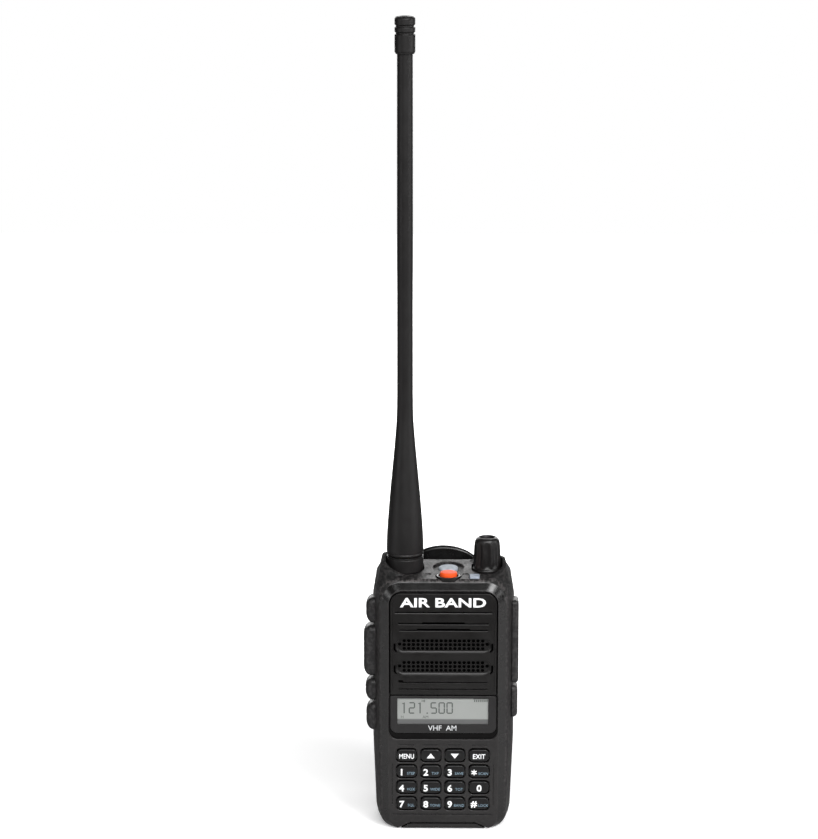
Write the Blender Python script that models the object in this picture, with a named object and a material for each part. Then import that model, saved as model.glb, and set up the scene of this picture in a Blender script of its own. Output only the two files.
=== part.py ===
"""Handheld aviation radio, modelled as separate pieces at real size.

Frame: metres, +Z up, origin on the floor at the middle of the case's base land.
+X is the side with the jack cover, -Y is the front with the keypad, +Y is the battery and belt clip.
The dimensions below are in millimetres, and every mesh is scaled to metres when it is made.
"""

import math

import bmesh
import bpy
from mathutils import Vector

MM = 0.001
GAP = 0.3  # clearance kept between neighbouring pieces

# Case, outside
FRONT_Y = -17.0
RIDGE_Y = -14.5
PARTING_Y = 3.8
CHASSIS_FRONT_Y, CHASSIS_BACK_Y = 1.9, 3.4
CHASSIS_SCREW_X, CHASSIS_SCREW_Z = 22.6, 9.4
TOP_REAR_Y = 13.6
HALF_WIDTH = 29.2
WAIST_Z, SHOULDER_Z = 36.0, 96.8
PANEL_HALF = 22.5
PANEL_TOP = 102.2
RIDGE_HALF = 26.1
TOP_FRONT_Z = 106.3
TOP_SLOPE = math.tan(math.radians(5.0))
BAY_TOP = 95.4
WALL = 2.0
SCREW_HEAD = 0.8
FRONT_WALL = 2.2
FLOOR_INSIDE_Z = 5.2
CEILING_Z = 103.4
JACK_OPENING = ((22, -7.4, 71.5), (35, 0.0, 95.0))
TOP_HOLLOW = ((-23.5, 3.0, 97.6), (23.5, 11.0, CEILING_Z - 0.2))
BEYOND = 40.0  # how far a cutter runs past the case

# Collars round the top controls
HORN_BASE_Z, HORN_BASE_X, HORN_BASE_HALF = 103.6, 17.6, (9.7, 12.4)
HORN_RIM_X, HORN_RIM_Y, HORN_RIM_HALF = 17.9, 1.5, (7.5, 7.0)
HORN_CORNER = 5.0
RIM_FALL_X, RIM_FALL_Y = 0.266, 0.264
RIM_PEAK_X, RIM_PEAK_Y = 25.0, 3.0
ANTENNA_POCKET = (8.0, -8.6, 10.4)  # half width, front, rear
KNOB_POCKET = (6.5, -7.6, 8.6)
ANTENNA_NECK, KNOB_NECK = 3.5, 3.9

# Front face
GRILLE_LOW, GRILLE_HIGH = 57.9, 101.6
GRILLE_HALF = 21.9
WINDOW_LOW, WINDOW_HIGH = 41.5, 57.5
WINDOW_RECESS_LOW = 39.0
INSERT_THICK = 1.05
LCD_LOW, LCD_HIGH = 45.0, 57.0
LCD_HALF = 19.6
LCD_FRONT_Y, LCD_BACK_Y, LCD_BORDER = -14.4, -12.5, 1.6
SPEAKER_Z = 79.0
SPEAKER_RADIUS = 17.4
BOARD_FRONT_Y, BOARD_BACK_Y = -12.1, -10.7
SCREW_HOLE = 1.15

# Grille openings
BAND_CENTRES = (79.5, 70.2)
BAND_HALF, BAND_HEIGHT = 20.2, 6.5
HOLE_COLUMNS, HOLE_PITCH, HOLE_ROW_PITCH, HOLE_SIDE = 18, 1.89, 1.55, 0.95
SLOTS = ((92.6, 20.5), (88.5, 19.0), (85.7, 18.6), (63.5, 18.4), (60.6, 18.4))
DEEP_SLOTS = ((88.5, 8.6), (85.7, 10.9))
MIC_X, MIC_Z = -18.6, 63.9

# Keypad
KEY_COLUMNS = (-15.1, -5.1, 4.8, 14.8)
KEY_ROWS = (31.9, 25.0, 18.1, 11.1)
KEY_NAMES = (
    ("menu", "up", "down", "exit"),
    ("1", "2", "3", "star"),
    ("4", "5", "6", "0"),
    ("7", "8", "9", "hash"),
)
KEY_HALF_X, KEY_HALF_Z, KEY_CORNER = 3.95, 2.6, 1.6
KEY_FRONT_Y, KEY_BACK_Y = -17.45, -14.6
KEY_CLEARANCE = 0.4

# Top controls
ANTENNA_X, ANTENNA_Y = -15.95, 2.0
KNOB_X, KNOB_Y = 17.95, 1.0
POCKET_Z = 105.6
ALARM_X, ALARM_Y, ALARM_RADIUS = 2.0, -10.0, 3.55
ALARM_RECESS = 5.4
TORCH_X, TORCH_Y, TORCH_RADIUS = 2.0, 0.8, 4.05
TORCH_RECESS = 6.4
LED_X, LED_Y, LED_HALF_X, LED_HALF_Y = 12.7, -10.5, 2.05, 2.5
LEFT_HORN_Z, RIGHT_HORN_Z = 112.4, 110.9

# Side controls: low z, high z, outermost x
SIDE_KEYS = {
    "ptt_button": (63.0, 84.6, -33.0),
    "side_key_top": (85.6, 96.6, -32.0),
    "side_key_upper": (52.4, 62.0, -32.3),
    "side_key_lower": (39.6, 51.4, -32.0),
}
SIDE_KEY_INNER_X = -25.4
SIDE_FRONT_Y, SIDE_REAR_Y = -8.2, 1.4
JACK_COVER_LOW, JACK_COVER_HIGH, JACK_COVER_X = 60.2, 95.6, 31.0
COVER_THICK = 2.6
ANCHOR_LOW, ANCHOR_HIGH = 45.4, 59.2
SOCKETS = ((89.4, 1.75), (78.0, 1.25))
SOCKET_Y = -3.7

# Antenna: height and radius down the outside, base to tip
SHEATH = (
    (112.8, 7.60),
    (118.5, 7.55),
    (122.7, 7.38),
    (131.2, 6.80),
    (141.8, 5.90),
    (152.4, 4.92),
    (162.9, 3.98),
    (170.0, 3.42),
    (178.0, 3.26),
    (318.6, 3.20),
)
COLLAR_LOW, COLLAR_HIGH, COLLAR_RADIUS, COLLAR_BORE = 105.9, 112.5, 7.6, 5.4
TIP_LOW, TIP_HIGH, TIP_RADIUS = 318.9, 333.9, 4.2
SPIGOT_TOP, SPIGOT_RADIUS = 323.4, 2.9

# Battery pack
BATTERY_FRONT_Y, BATTERY_BACK_Y = 4.1, 15.8
BATTERY_TOP = 95.0
LID_BACK_Y, CELL_BACK_Y = 6.4, 13.2
RAIL_X, RAIL_HALF, RAIL_DEPTH = 18.0, 1.0, 1.5

# Base latch
LATCH_HALF_TOP, LATCH_HALF_BASE = 13.5, 17.3
LATCH_LOW, LATCH_HIGH = 0.4, 2.2
LATCH_PIVOT_Y, LATCH_PIVOT_Z = -14.4, 2.4
LATCH_REAR_Y = 3.5
LAND_HALF = 7.0

# Belt clip
CLIP_INNER_Y, CLIP_THICK = 21.0, 1.9
CLIP_PIVOT_Y, CLIP_PIVOT_Z = 18.4, 101.5
CLIP_LOW, CLIP_HIGH = 34.0, 111.6
CLIP_HEAD_RADIUS, CLIP_HALF = 17.0, 10.5
CLIP_SCREW_X, CLIP_SCREW_Z = 3.2, 98.1
CLIP_PIN_RADIUS, PIN_BORE = 0.65, 0.95
EAR_X = (6.2, 7.6)
KNUCKLE_X = (2.6, 5.8)

# Cross-sections from front to back: depth, half widths at the top, middle and base, top, base, and the radius
# of the upper and lower corners.
CASE_SECTIONS = (
    (FRONT_Y, 22.3, PANEL_HALF, 22.2, PANEL_TOP, 0.3, 5.5, 4.6),
    (RIDGE_Y, 25.3, RIDGE_HALF, 25.6, TOP_FRONT_Z - 0.5, 0.0, 7.0, 6.3),
    (-13.7, 25.9, 26.8, 26.1, TOP_FRONT_Z + 0.8 * TOP_SLOPE, 0.0, 6.2, 6.3),
    (-7.0, 27.5, 28.4, 27.3, TOP_FRONT_Z + 7.5 * TOP_SLOPE, 0.0, 4.2, 6.3),
    (0.0, 28.0, HALF_WIDTH, 28.0, TOP_FRONT_Z + 14.5 * TOP_SLOPE, 0.0, 3.2, 6.3),
    (5.0, 27.9, HALF_WIDTH, 28.0, TOP_FRONT_Z + 19.5 * TOP_SLOPE, 0.0, 3.2, 6.3),
    (10.0, 27.1, 28.5, 27.4, TOP_FRONT_Z + 24.5 * TOP_SLOPE, 0.0, 3.6, 6.3),
    (TOP_REAR_Y, 24.8, 26.6, 25.6, 105.8, 0.0, 4.6, 6.3),
)
INSIDE_SECTIONS = (
    (FRONT_Y + FRONT_WALL, 21.0, 21.2, 20.8, 100.2, FLOOR_INSIDE_Z, 3.5, 3.0),
    (-12.0, 23.8, 24.4, 23.8, CEILING_Z, FLOOR_INSIDE_Z, 4.0, 3.0),
    (-7.0, 25.1, 26.1, 25.1, CEILING_Z, FLOOR_INSIDE_Z, 3.0, 3.0),
    (0.0, 25.5, HALF_WIDTH - WALL, 25.8, CEILING_Z, FLOOR_INSIDE_Z, 3.0, 3.0),
    (4.6, 25.5, HALF_WIDTH - WALL, 25.8, CEILING_Z, FLOOR_INSIDE_Z, 3.0, 3.0),
)
BATTERY_SECTIONS = (
    (BATTERY_FRONT_Y, 28.9, HALF_WIDTH, 28.0, BATTERY_TOP, 0.0, 1.2, 6.3),
    (9.0, 28.4, 28.7, 27.5, BATTERY_TOP, 0.0, 1.6, 6.3),
    (13.2, 26.4, 26.8, 25.8, BATTERY_TOP, 0.0, 2.4, 6.0),
    (15.2, 23.8, 24.2, 23.6, BATTERY_TOP - 1.0, 1.2, 3.0, 5.2),
    (BATTERY_BACK_Y, 22.6, 23.0, 22.4, BATTERY_TOP - 2.0, 2.2, 3.0, 4.8),
)
CHASSIS_SECTION = (25.2, 26.6, 25.4, 94.8, 5.7, 2.5, 3.2)
# Belt clip, from its toe up: height, inner face and half width
CLIP_STATIONS = (
    (CLIP_LOW, 17.0, 5.5),
    (CLIP_LOW + 2.5, 16.9, 8.0),
    (CLIP_LOW + 8.0, 19.0, 9.6),
    (CLIP_LOW + 14.0, CLIP_INNER_Y, CLIP_HALF),
    (92.0, CLIP_INNER_Y, CLIP_HALF),
    (95.6, CLIP_INNER_Y, CLIP_HALF + 2.0),
)
CLIP_HEAD_LOW, CLIP_HEAD_STRETCH, CLIP_HEAD_STEPS = 99.0, 13.0 / 17.0, 7


def clear_scene():
    for obj in list(bpy.data.objects):
        bpy.data.objects.remove(obj, do_unlink=True)


def material(name, colour, roughness, metallic=0.0):
    made = bpy.data.materials.get(name)
    if made:
        return made
    made = bpy.data.materials.new(name)
    made.use_nodes = True
    shader = made.node_tree.nodes["Principled BSDF"]
    shader.inputs["Base Color"].default_value = (*colour, 1.0)
    shader.inputs["Roughness"].default_value = roughness
    shader.inputs["Metallic"].default_value = metallic
    made.diffuse_color = (*colour, 1.0)
    return made


FINISHES = {
    "case_plastic": ((0.020, 0.019, 0.020), 0.55),
    "panel_plastic": ((0.012, 0.011, 0.011), 0.50),
    "key_rubber": ((0.010, 0.010, 0.010), 0.45),
    "side_rubber": ((0.018, 0.017, 0.017), 0.70),
    "antenna_rubber": ((0.016, 0.015, 0.015), 0.60),
    "gloss_black": ((0.006, 0.006, 0.006), 0.15),
    "lens_grey": ((0.45, 0.48, 0.54), 0.15),
    "lcd_glass": ((0.36, 0.37, 0.35), 0.20),
    "alarm_orange": ((0.95, 0.14, 0.03), 0.35),
    "cast_metal": ((0.40, 0.40, 0.41), 0.45, 1.0),
    "brass": ((0.72, 0.53, 0.22), 0.30, 1.0),
    "steel": ((0.55, 0.55, 0.56), 0.30, 1.0),
    "board_green": ((0.02, 0.14, 0.06), 0.50),
    "cell_blue": ((0.05, 0.12, 0.30), 0.50),
    "silicone_grey": ((0.20, 0.20, 0.20), 0.75),
}


def finish(name):
    return material(name, *FINISHES[name])


# ---- mesh helpers: all take millimetres in the part's own frame ----


def add(name, mesh_work, look, origin=(0.0, 0.0, 0.0)):
    """Makes one object of the work mesh, with its origin at a point given in millimetres."""
    bmesh.ops.recalc_face_normals(mesh_work, faces=mesh_work.faces)
    bmesh.ops.translate(mesh_work, verts=mesh_work.verts, vec=-Vector(origin))
    bmesh.ops.scale(mesh_work, verts=mesh_work.verts, vec=(MM, MM, MM))
    data = bpy.data.meshes.new(name)
    mesh_work.to_mesh(data)
    mesh_work.free()
    data.materials.append(finish(look))
    obj = bpy.data.objects.new(name, data)
    obj.location = Vector(origin) * MM
    bpy.context.scene.collection.objects.link(obj)
    return obj


def smooth(obj, degrees=40.0):
    obj.data.shade_smooth()
    obj.data.set_sharp_from_angle(angle=math.radians(degrees))
    return obj


def loft(loops, work=None):
    """A closed solid through loops of equal length, with flat caps on the first and the last."""
    work = work or bmesh.new()
    rings = [[work.verts.new(point) for point in loop] for loop in loops]
    for lower, upper in zip(rings, rings[1:]):
        for i in range(len(lower)):
            j = (i + 1) % len(lower)
            work.faces.new((lower[i], lower[j], upper[j], upper[i]))
    work.faces.new(rings[0][::-1])
    work.faces.new(rings[-1])
    return work


def prism(outline, low, high, axis, work=None):
    """An outline of (u, v) points extruded along an axis: u, v are the other two in X, Y, Z order."""
    place = {
        "X": lambda u, v, w: (w, u, v),
        "Y": lambda u, v, w: (u, w, v),
        "Z": lambda u, v, w: (u, v, w),
    }[axis]
    return loft([[place(u, v, w) for u, v in outline] for w in (low, high)], work)


def box(low, high, work=None):
    corners = ((low[0], low[1]), (high[0], low[1]), (high[0], high[1]), (low[0], high[1]))
    return prism(corners, low[2], high[2], "Z", work)


def rounded(u, v, half_u, half_v, radius, steps=4):
    """A rectangle with round corners, as points round the centre (u, v)."""
    points = []
    corners = ((1, 1, 0), (-1, 1, 90), (-1, -1, 180), (1, -1, 270))
    for side_u, side_v, start in corners:
        centre_u = u + side_u * (half_u - radius)
        centre_v = v + side_v * (half_v - radius)
        for step in range(steps + 1):
            angle = math.radians(start + 90 * step / steps)
            points.append((centre_u + radius * math.cos(angle), centre_v + radius * math.sin(angle)))
    return points


def circle(u, v, radius, steps=24):
    angles = [2 * math.pi * i / steps for i in range(steps)]
    return [(u + radius * math.cos(a), v + radius * math.sin(a)) for a in angles]


def turned(profile, x, y, steps=24, work=None):
    """A solid turned about the vertical line at (x, y); the profile is (height, radius) up the outside."""
    loops = [[(*point, height) for point in circle(x, y, radius, steps)] for height, radius in profile]
    return loft(loops, work)


def tube(outer, inner, x, y, steps=24):
    """A turned ring: the outer profile up, then the inner profile down, as (height, radius) pairs."""
    work = bmesh.new()
    profile = list(outer) + list(inner)[::-1]
    rings = [
        [work.verts.new((*point, height)) for point in circle(x, y, radius, steps)]
        for height, radius in profile
    ]
    for lower, upper in zip(rings, rings[1:] + rings[:1]):
        for i in range(steps):
            j = (i + 1) % steps
            work.faces.new((lower[i], lower[j], upper[j], upper[i]))
    return work


def helper(name, work):
    """A cutter or a joined shape, which is no piece of its own."""
    obj = add(name, work, "steel")
    obj.hide_render = True
    obj.display_type = "WIRE"
    return obj


def combine(target, name, work, operation="DIFFERENCE"):
    modifier = target.modifiers.new(name, "BOOLEAN")
    modifier.operation = operation
    modifier.solver = "EXACT"
    modifier.object = helper(name, work)
    return target


def join(target, name, other):
    modifier = target.modifiers.new(name, "BOOLEAN")
    modifier.operation = "UNION"
    modifier.solver = "EXACT"
    modifier.object = other


# ---- outline of the case at one depth ----


def case_loop(y, half_top, half_mid, half_low, top, bottom, corner_top, corner_low, steps=5):
    """The case's outline at depth y: its sides taper below the waist and above the shoulder."""
    shoulder = min(SHOULDER_Z, top - corner_top - 0.1)
    right = []
    for step in range(steps + 1):
        angle = math.radians(-90 + 90 * step / steps)
        right.append(
            (
                half_low - corner_low + corner_low * math.cos(angle),
                bottom + corner_low + corner_low * math.sin(angle),
            )
        )
    right += [(half_mid, WAIST_Z), (half_mid, shoulder)]
    for step in range(steps + 1):
        angle = math.radians(90 * step / steps)
        right.append(
            (
                half_top - corner_top + corner_top * math.cos(angle),
                top - corner_top + corner_top * math.sin(angle),
            )
        )
    return [(x, y, z) for x, z in right] + [(-x, y, z) for x, z in reversed(right)]


def case_outside():
    return loft([case_loop(*section) for section in CASE_SECTIONS])


def case_inside():
    return loft([case_loop(*section, steps=2) for section in INSIDE_SECTIONS])


def horn(side, peak_z):
    """The raised collar round a top control: a boss with sloping sides, highest at the case's outer edge."""
    lower = rounded(side * HORN_BASE_X, 0.0, *HORN_BASE_HALF, HORN_CORNER)
    upper = rounded(side * HORN_RIM_X, HORN_RIM_Y, *HORN_RIM_HALF, HORN_CORNER)
    return loft([[(u, v, HORN_BASE_Z) for u, v in lower], [(u, v, peak_z) for u, v in upper]])


def above_horn(side, peak_z):
    """What lies above the collar's slanting rim, which drops towards the middle and the front."""
    reach = 14.0
    corners = []
    for v in (-reach, reach):
        for u in (side * 4.0, side * 30.0):
            drop = RIM_FALL_X * (RIM_PEAK_X - side * u) + RIM_FALL_Y * (RIM_PEAK_Y - v)
            corners.append((u, v, peak_z - drop))
    low = [corners[0], corners[1], corners[3], corners[2]]
    return loft([low, [(u, v, peak_z + 20) for u, v, _ in low]])


def pocket(x, half_x, front, rear, work=None):
    outline = rounded(x, (front + rear) / 2, half_x, (rear - front) / 2, min(half_x, 7.0) - 0.1, 5)
    return prism(outline, POCKET_Z, LEFT_HORN_Z + 5, "Z", work)


def latch_outline(low, high, grow):
    """The lever's trapezoid between two heights, widened by grow along its slanted ends."""
    slope = (LATCH_HALF_BASE - LATCH_HALF_TOP) / (LATCH_HIGH - LATCH_LOW)
    half_low = LATCH_HALF_BASE + grow - slope * (low - LATCH_LOW)
    half_high = LATCH_HALF_BASE + grow - slope * (high - LATCH_LOW)
    return ((-half_low, low), (half_low, low), (half_high, high), (-half_high, high))


def front_case():
    case = smooth(add("front_case", case_outside(), "case_plastic"), 30)
    for side, name, peak_z in ((-1, "left", LEFT_HORN_Z), (1, "right", RIGHT_HORN_Z)):
        collar = helper(f"horn_{name}", horn(side, peak_z))
        combine(collar, f"above_horn_{name}", above_horn(side, peak_z))
        join(case, f"with_{name}_horn", collar)
    combine(case, "inside", case_inside())
    combine(case, "battery_bay", box((-BEYOND, PARTING_Y, -5), (BEYOND, 30, BAY_TOP)))
    combine(case, "top_hollow", box(*TOP_HOLLOW))
    cut_pockets(case)
    cut_front_openings(case)
    cut_side_openings(case)
    cut_top_recesses(case)
    screws = None
    for side in (-1, 1):
        hole = circle(side * CLIP_SCREW_X, CLIP_SCREW_Z, SCREW_HOLE, 10)
        screws = prism(hole, 10.5, 20, "Y", screws)
    combine(case, "clip_screw_holes", screws)
    cut_latch_seat(case)


def cut_pockets(case):
    pockets = pocket(ANTENNA_X, *ANTENNA_POCKET)
    pocket(KNOB_X, *KNOB_POCKET, pockets)
    combine(case, "pockets", pockets)
    necks = prism(circle(ANTENNA_X, ANTENNA_Y, ANTENNA_NECK, 16), 100, 109, "Z")
    prism(circle(KNOB_X, KNOB_Y, KNOB_NECK, 16), 100, 109, "Z", necks)
    combine(case, "neck_holes", necks)


def cut_front_openings(case):
    seat_y = FRONT_Y + INSERT_THICK + GAP
    outline = rounded(0, (GRILLE_LOW + GRILLE_HIGH) / 2, GRILLE_HALF + 0.25,
                      (GRILLE_HIGH - GRILLE_LOW) / 2 + 0.25, 4.8)
    combine(case, "grille_recess", prism(outline, FRONT_Y - 1, seat_y, "Y"))
    outline = rounded(0, (WINDOW_RECESS_LOW + WINDOW_HIGH) / 2, GRILLE_HALF + 0.25,
                      (WINDOW_HIGH - WINDOW_RECESS_LOW) / 2 + 0.15, 2.6)
    combine(case, "window_recess", prism(outline, FRONT_Y - 1, seat_y, "Y"))
    outline = rounded(0, (LCD_LOW + LCD_HIGH) / 2, LCD_HALF + 0.4, (LCD_HIGH - LCD_LOW) / 2 + 0.2, 0.6, 2)
    through = prism(outline, seat_y - 0.85, -13.5, "Y")
    prism(circle(0, SPEAKER_Z, SPEAKER_RADIUS - 1.4, 24), seat_y - 0.85, -13.5, "Y", through)
    prism(circle(MIC_X, MIC_Z, 0.9, 8), seat_y - 0.85, -11.5, "Y", through)
    combine(case, "lcd_speaker_and_mic_openings", through)

    holes = None
    for z in KEY_ROWS:
        for x in KEY_COLUMNS:
            outline = rounded(x, z, KEY_HALF_X + KEY_CLEARANCE, KEY_HALF_Z + KEY_CLEARANCE, 1.9, 3)
            holes = prism(outline, FRONT_Y - 1, FRONT_Y + 4, "Y", holes)
    combine(case, "key_holes", holes)


def cut_side_openings(case):
    sides = None
    for low, high, _ in SIDE_KEYS.values():
        sides = box((-35, SIDE_FRONT_Y - 0.4, low - 0.4), (-22, SIDE_REAR_Y + 0.4, high + 0.4), sides)
    combine(case, "side_key_openings", sides)
    combine(case, "jack_opening", box(*JACK_OPENING))
    cover_seat = box((JACK_COVER_X - COVER_THICK - GAP, SIDE_FRONT_Y - 0.3, JACK_COVER_LOW - 0.4),
                     (36, SIDE_REAR_Y + 0.3, JACK_COVER_HIGH + 0.4))
    box((JACK_COVER_X - COVER_THICK - GAP, SIDE_FRONT_Y - 0.3, ANCHOR_LOW - 0.3),
        (36, SIDE_REAR_Y + 0.3, ANCHOR_HIGH + 0.3), cover_seat)
    combine(case, "cover_seat", cover_seat)


def cut_top_recesses(case):
    alarm = prism(circle(ALARM_X, ALARM_Y, ALARM_RECESS, 24), 105.3, 112, "Z")
    combine(case, "alarm_recess", alarm)
    torch = prism(circle(TORCH_X, TORCH_Y, TORCH_RECESS, 24), 107.0, 112, "Z")
    combine(case, "torch_recess", torch)
    wells = prism(circle(TORCH_X, TORCH_Y, TORCH_RADIUS + GAP, 20), 105.2, 112, "Z")
    prism(circle(ALARM_X, ALARM_Y, 2.3, 12), 100, 112, "Z", wells)
    prism(rounded(LED_X, LED_Y, LED_HALF_X + GAP, LED_HALF_Y + GAP, 0.6, 2), 104.9, 112, "Z", wells)
    combine(case, "lens_wells", wells)


def cut_latch_seat(case):
    recess = prism(latch_outline(-1.0, LATCH_HIGH + 0.5, 1.4), FRONT_Y - 1, -11.6, "Y")
    combine(case, "latch_recess", recess)
    slots = box((-15.6, LATCH_PIVOT_Y - 1.7, -1), (15.6, LATCH_PIVOT_Y + 1.7, 4.2))
    combine(case, "latch_pivot_recess", slots)
    arms = None
    for side in (-1, 1):
        low_x, high_x = sorted((side * (LAND_HALF + 0.4), side * (LATCH_HALF_TOP + 0.5)))
        arms = box((low_x, -12.4, -1), (high_x, PARTING_Y + 1, LATCH_HIGH + 0.6), arms)
    combine(case, "latch_arm_slots", arms)


def grille_panel():
    outline = rounded(0, (GRILLE_LOW + GRILLE_HIGH) / 2, GRILLE_HALF, (GRILLE_HIGH - GRILLE_LOW) / 2, 4.5)
    panel = add("speaker_grille_panel", prism(outline, FRONT_Y, FRONT_Y + INSERT_THICK, "Y"), "panel_plastic")
    shallow = None
    for z, half in SLOTS:
        shallow = box((-half, FRONT_Y - 1, z - 0.4), (half, FRONT_Y + 0.5, z + 0.4), shallow)
    for z in BAND_CENTRES:
        outline = rounded(0, z, BAND_HALF, BAND_HEIGHT / 2, 2.6, 3)
        shallow = prism(outline, FRONT_Y - 1, FRONT_Y + 0.45, "Y", shallow)
    combine(panel, "shallow_slots", shallow)
    deep = None
    for z, half in DEEP_SLOTS:
        deep = box((-half, FRONT_Y - 1, z - 0.3), (half, FRONT_Y + 3, z + 0.3), deep)
    deep = prism(circle(MIC_X, MIC_Z, 0.7, 8), FRONT_Y - 1, FRONT_Y + 3, "Y", deep)
    half = HOLE_SIDE / 2
    for band in BAND_CENTRES:
        for row in (-1, 0, 1):
            z = band + 0.1 + row * HOLE_ROW_PITCH
            for column in range(HOLE_COLUMNS):
                x = (column - (HOLE_COLUMNS - 1) / 2) * HOLE_PITCH
                deep = box((x - half, FRONT_Y - 1, z - half), (x + half, FRONT_Y + 3, z + half), deep)
    combine(panel, "sound_holes", deep)


def front_inserts():
    outline = rounded(0, (WINDOW_LOW + WINDOW_HIGH) / 2, GRILLE_HALF, (WINDOW_HIGH - WINDOW_LOW) / 2, 2.4)
    add("display_window", prism(outline, FRONT_Y, FRONT_Y + INSERT_THICK, "Y"), "gloss_black")
    half = LCD_HALF + LCD_BORDER
    module = box((-half, LCD_FRONT_Y, LCD_LOW - LCD_BORDER), (half, LCD_BACK_Y, LCD_HIGH + LCD_BORDER))
    add("lcd_module", module, "lcd_glass")
    smooth(add("speaker_driver", speaker_solid(), "steel"))
    capsule = prism(circle(MIC_X, MIC_Z, 1.9, 12), -14.2, -12.6, "Y")
    smooth(add("microphone", capsule, "steel"))


def speaker_solid():
    """Frame, basket and magnet along +Y, behind the grille."""
    profile = (
        (-14.4, SPEAKER_RADIUS),
        (-13.2, SPEAKER_RADIUS),
        (-11.6, 14.0),
        (-10.2, 8.5),
        (-7.4, 8.5),
    )
    loops = [[(u, depth, v) for u, v in circle(0, SPEAKER_Z, radius, 28)] for depth, radius in profile]
    return loft(loops)


def keys():
    for row, z in zip(KEY_NAMES, KEY_ROWS):
        for name, x in zip(row, KEY_COLUMNS):
            loops = []
            for depth, inset in ((KEY_BACK_Y, 0.0), (KEY_FRONT_Y + 0.5, 0.0), (KEY_FRONT_Y, 0.45)):
                outline = rounded(x, z, KEY_HALF_X - inset, KEY_HALF_Z - inset, KEY_CORNER - inset, 3)
                loops.append([(u, depth, v) for u, v in outline])
            smooth(add(f"key_{name}", loft(loops), "key_rubber", (x, KEY_BACK_Y, z)))


def inner_parts():
    low, high = min(KEY_ROWS) - 4.6, max(KEY_ROWS) + 4.6
    add("keypad_membrane", box((-20.6, -13.5, low), (20.6, -12.5, high)), "silicone_grey")
    outline = rounded(0, 53.0, 22.6, 46.4, 3.0, 3)
    board = add("main_board", prism(outline, BOARD_FRONT_Y, BOARD_BACK_Y, "Y"), "board_green")
    speaker_hole = prism(circle(0, SPEAKER_Z, SPEAKER_RADIUS + 0.6, 28), -14, -9, "Y")
    combine(board, "speaker_hole", speaker_hole)

    plate = [case_loop(y, *CHASSIS_SECTION, steps=2) for y in (CHASSIS_FRONT_Y, CHASSIS_BACK_Y)]
    chassis = add("rear_chassis", loft(plate), "cast_metal")
    ribs = None
    for side in (-1, 1):
        x = side * RAIL_X
        ribs = box((x - RAIL_HALF, 3.0, 22), (x + RAIL_HALF, CHASSIS_BACK_Y + RAIL_DEPTH, 78), ribs)
    combine(chassis, "rails", ribs, "UNION")
    contact_seat = box((-7.4, 0.0, 11.6), (7.4, 5.0, 16.6))
    for side in (-1, 1):
        prism(circle(side * CHASSIS_SCREW_X, CHASSIS_SCREW_Z, 1.5, 12), 0, 5, "Y", contact_seat)
    combine(chassis, "contact_and_screw_holes", contact_seat)
    add("battery_contact_block", box((-7.0, 0.6, 12.0), (7.0, 3.6, 16.2)), "brass")
    for side, name in ((-1, "left"), (1, "right")):
        add_screw(f"chassis_screw_{name}", side * CHASSIS_SCREW_X, CHASSIS_SCREW_Z, -1.0, 3.3, 1.15)

    jack = turned(((97.8, 4.6), (103.0, 4.6), (103.1, 3.15), (111.0, 3.15)), ANTENNA_X, ANTENNA_Y, 20)
    smooth(add("antenna_jack", jack, "brass"))
    switch = turned(((97.8, 5.6), (103.0, 5.6), (103.1, 3.5), (107.6, 3.5)), KNOB_X, KNOB_Y, 20)
    switch = smooth(add("volume_switch_body", switch, "steel"))
    combine(switch, "shaft_bore", prism(circle(KNOB_X, KNOB_Y, 1.9, 16), 99.5, 112, "Z"))

    sockets = add("accessory_jack_block", box((20.4, -6.9, 72.0), (27.9, -0.5, 94.5)), "gloss_black")
    bores = None
    for z, radius in SOCKETS:
        bores = prism(circle(SOCKET_Y, z, radius, 14), 21.6, 35, "X", bores)
    combine(sockets, "socket_bores", bores)


def add_screw(name, x, z, tip_y, head_y, radius):
    """A pan-head screw along +Y: shank first, then the head."""
    shank = radius * 0.55
    seat_y = head_y - SCREW_HEAD
    profile = ((tip_y, shank), (seat_y, shank), (seat_y + 0.01, radius), (head_y, radius * 0.8))
    loops = [[(u, depth, v) for u, v in circle(x, z, r, 12)] for depth, r in profile]
    return smooth(add(name, loft(loops), "steel"))


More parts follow.
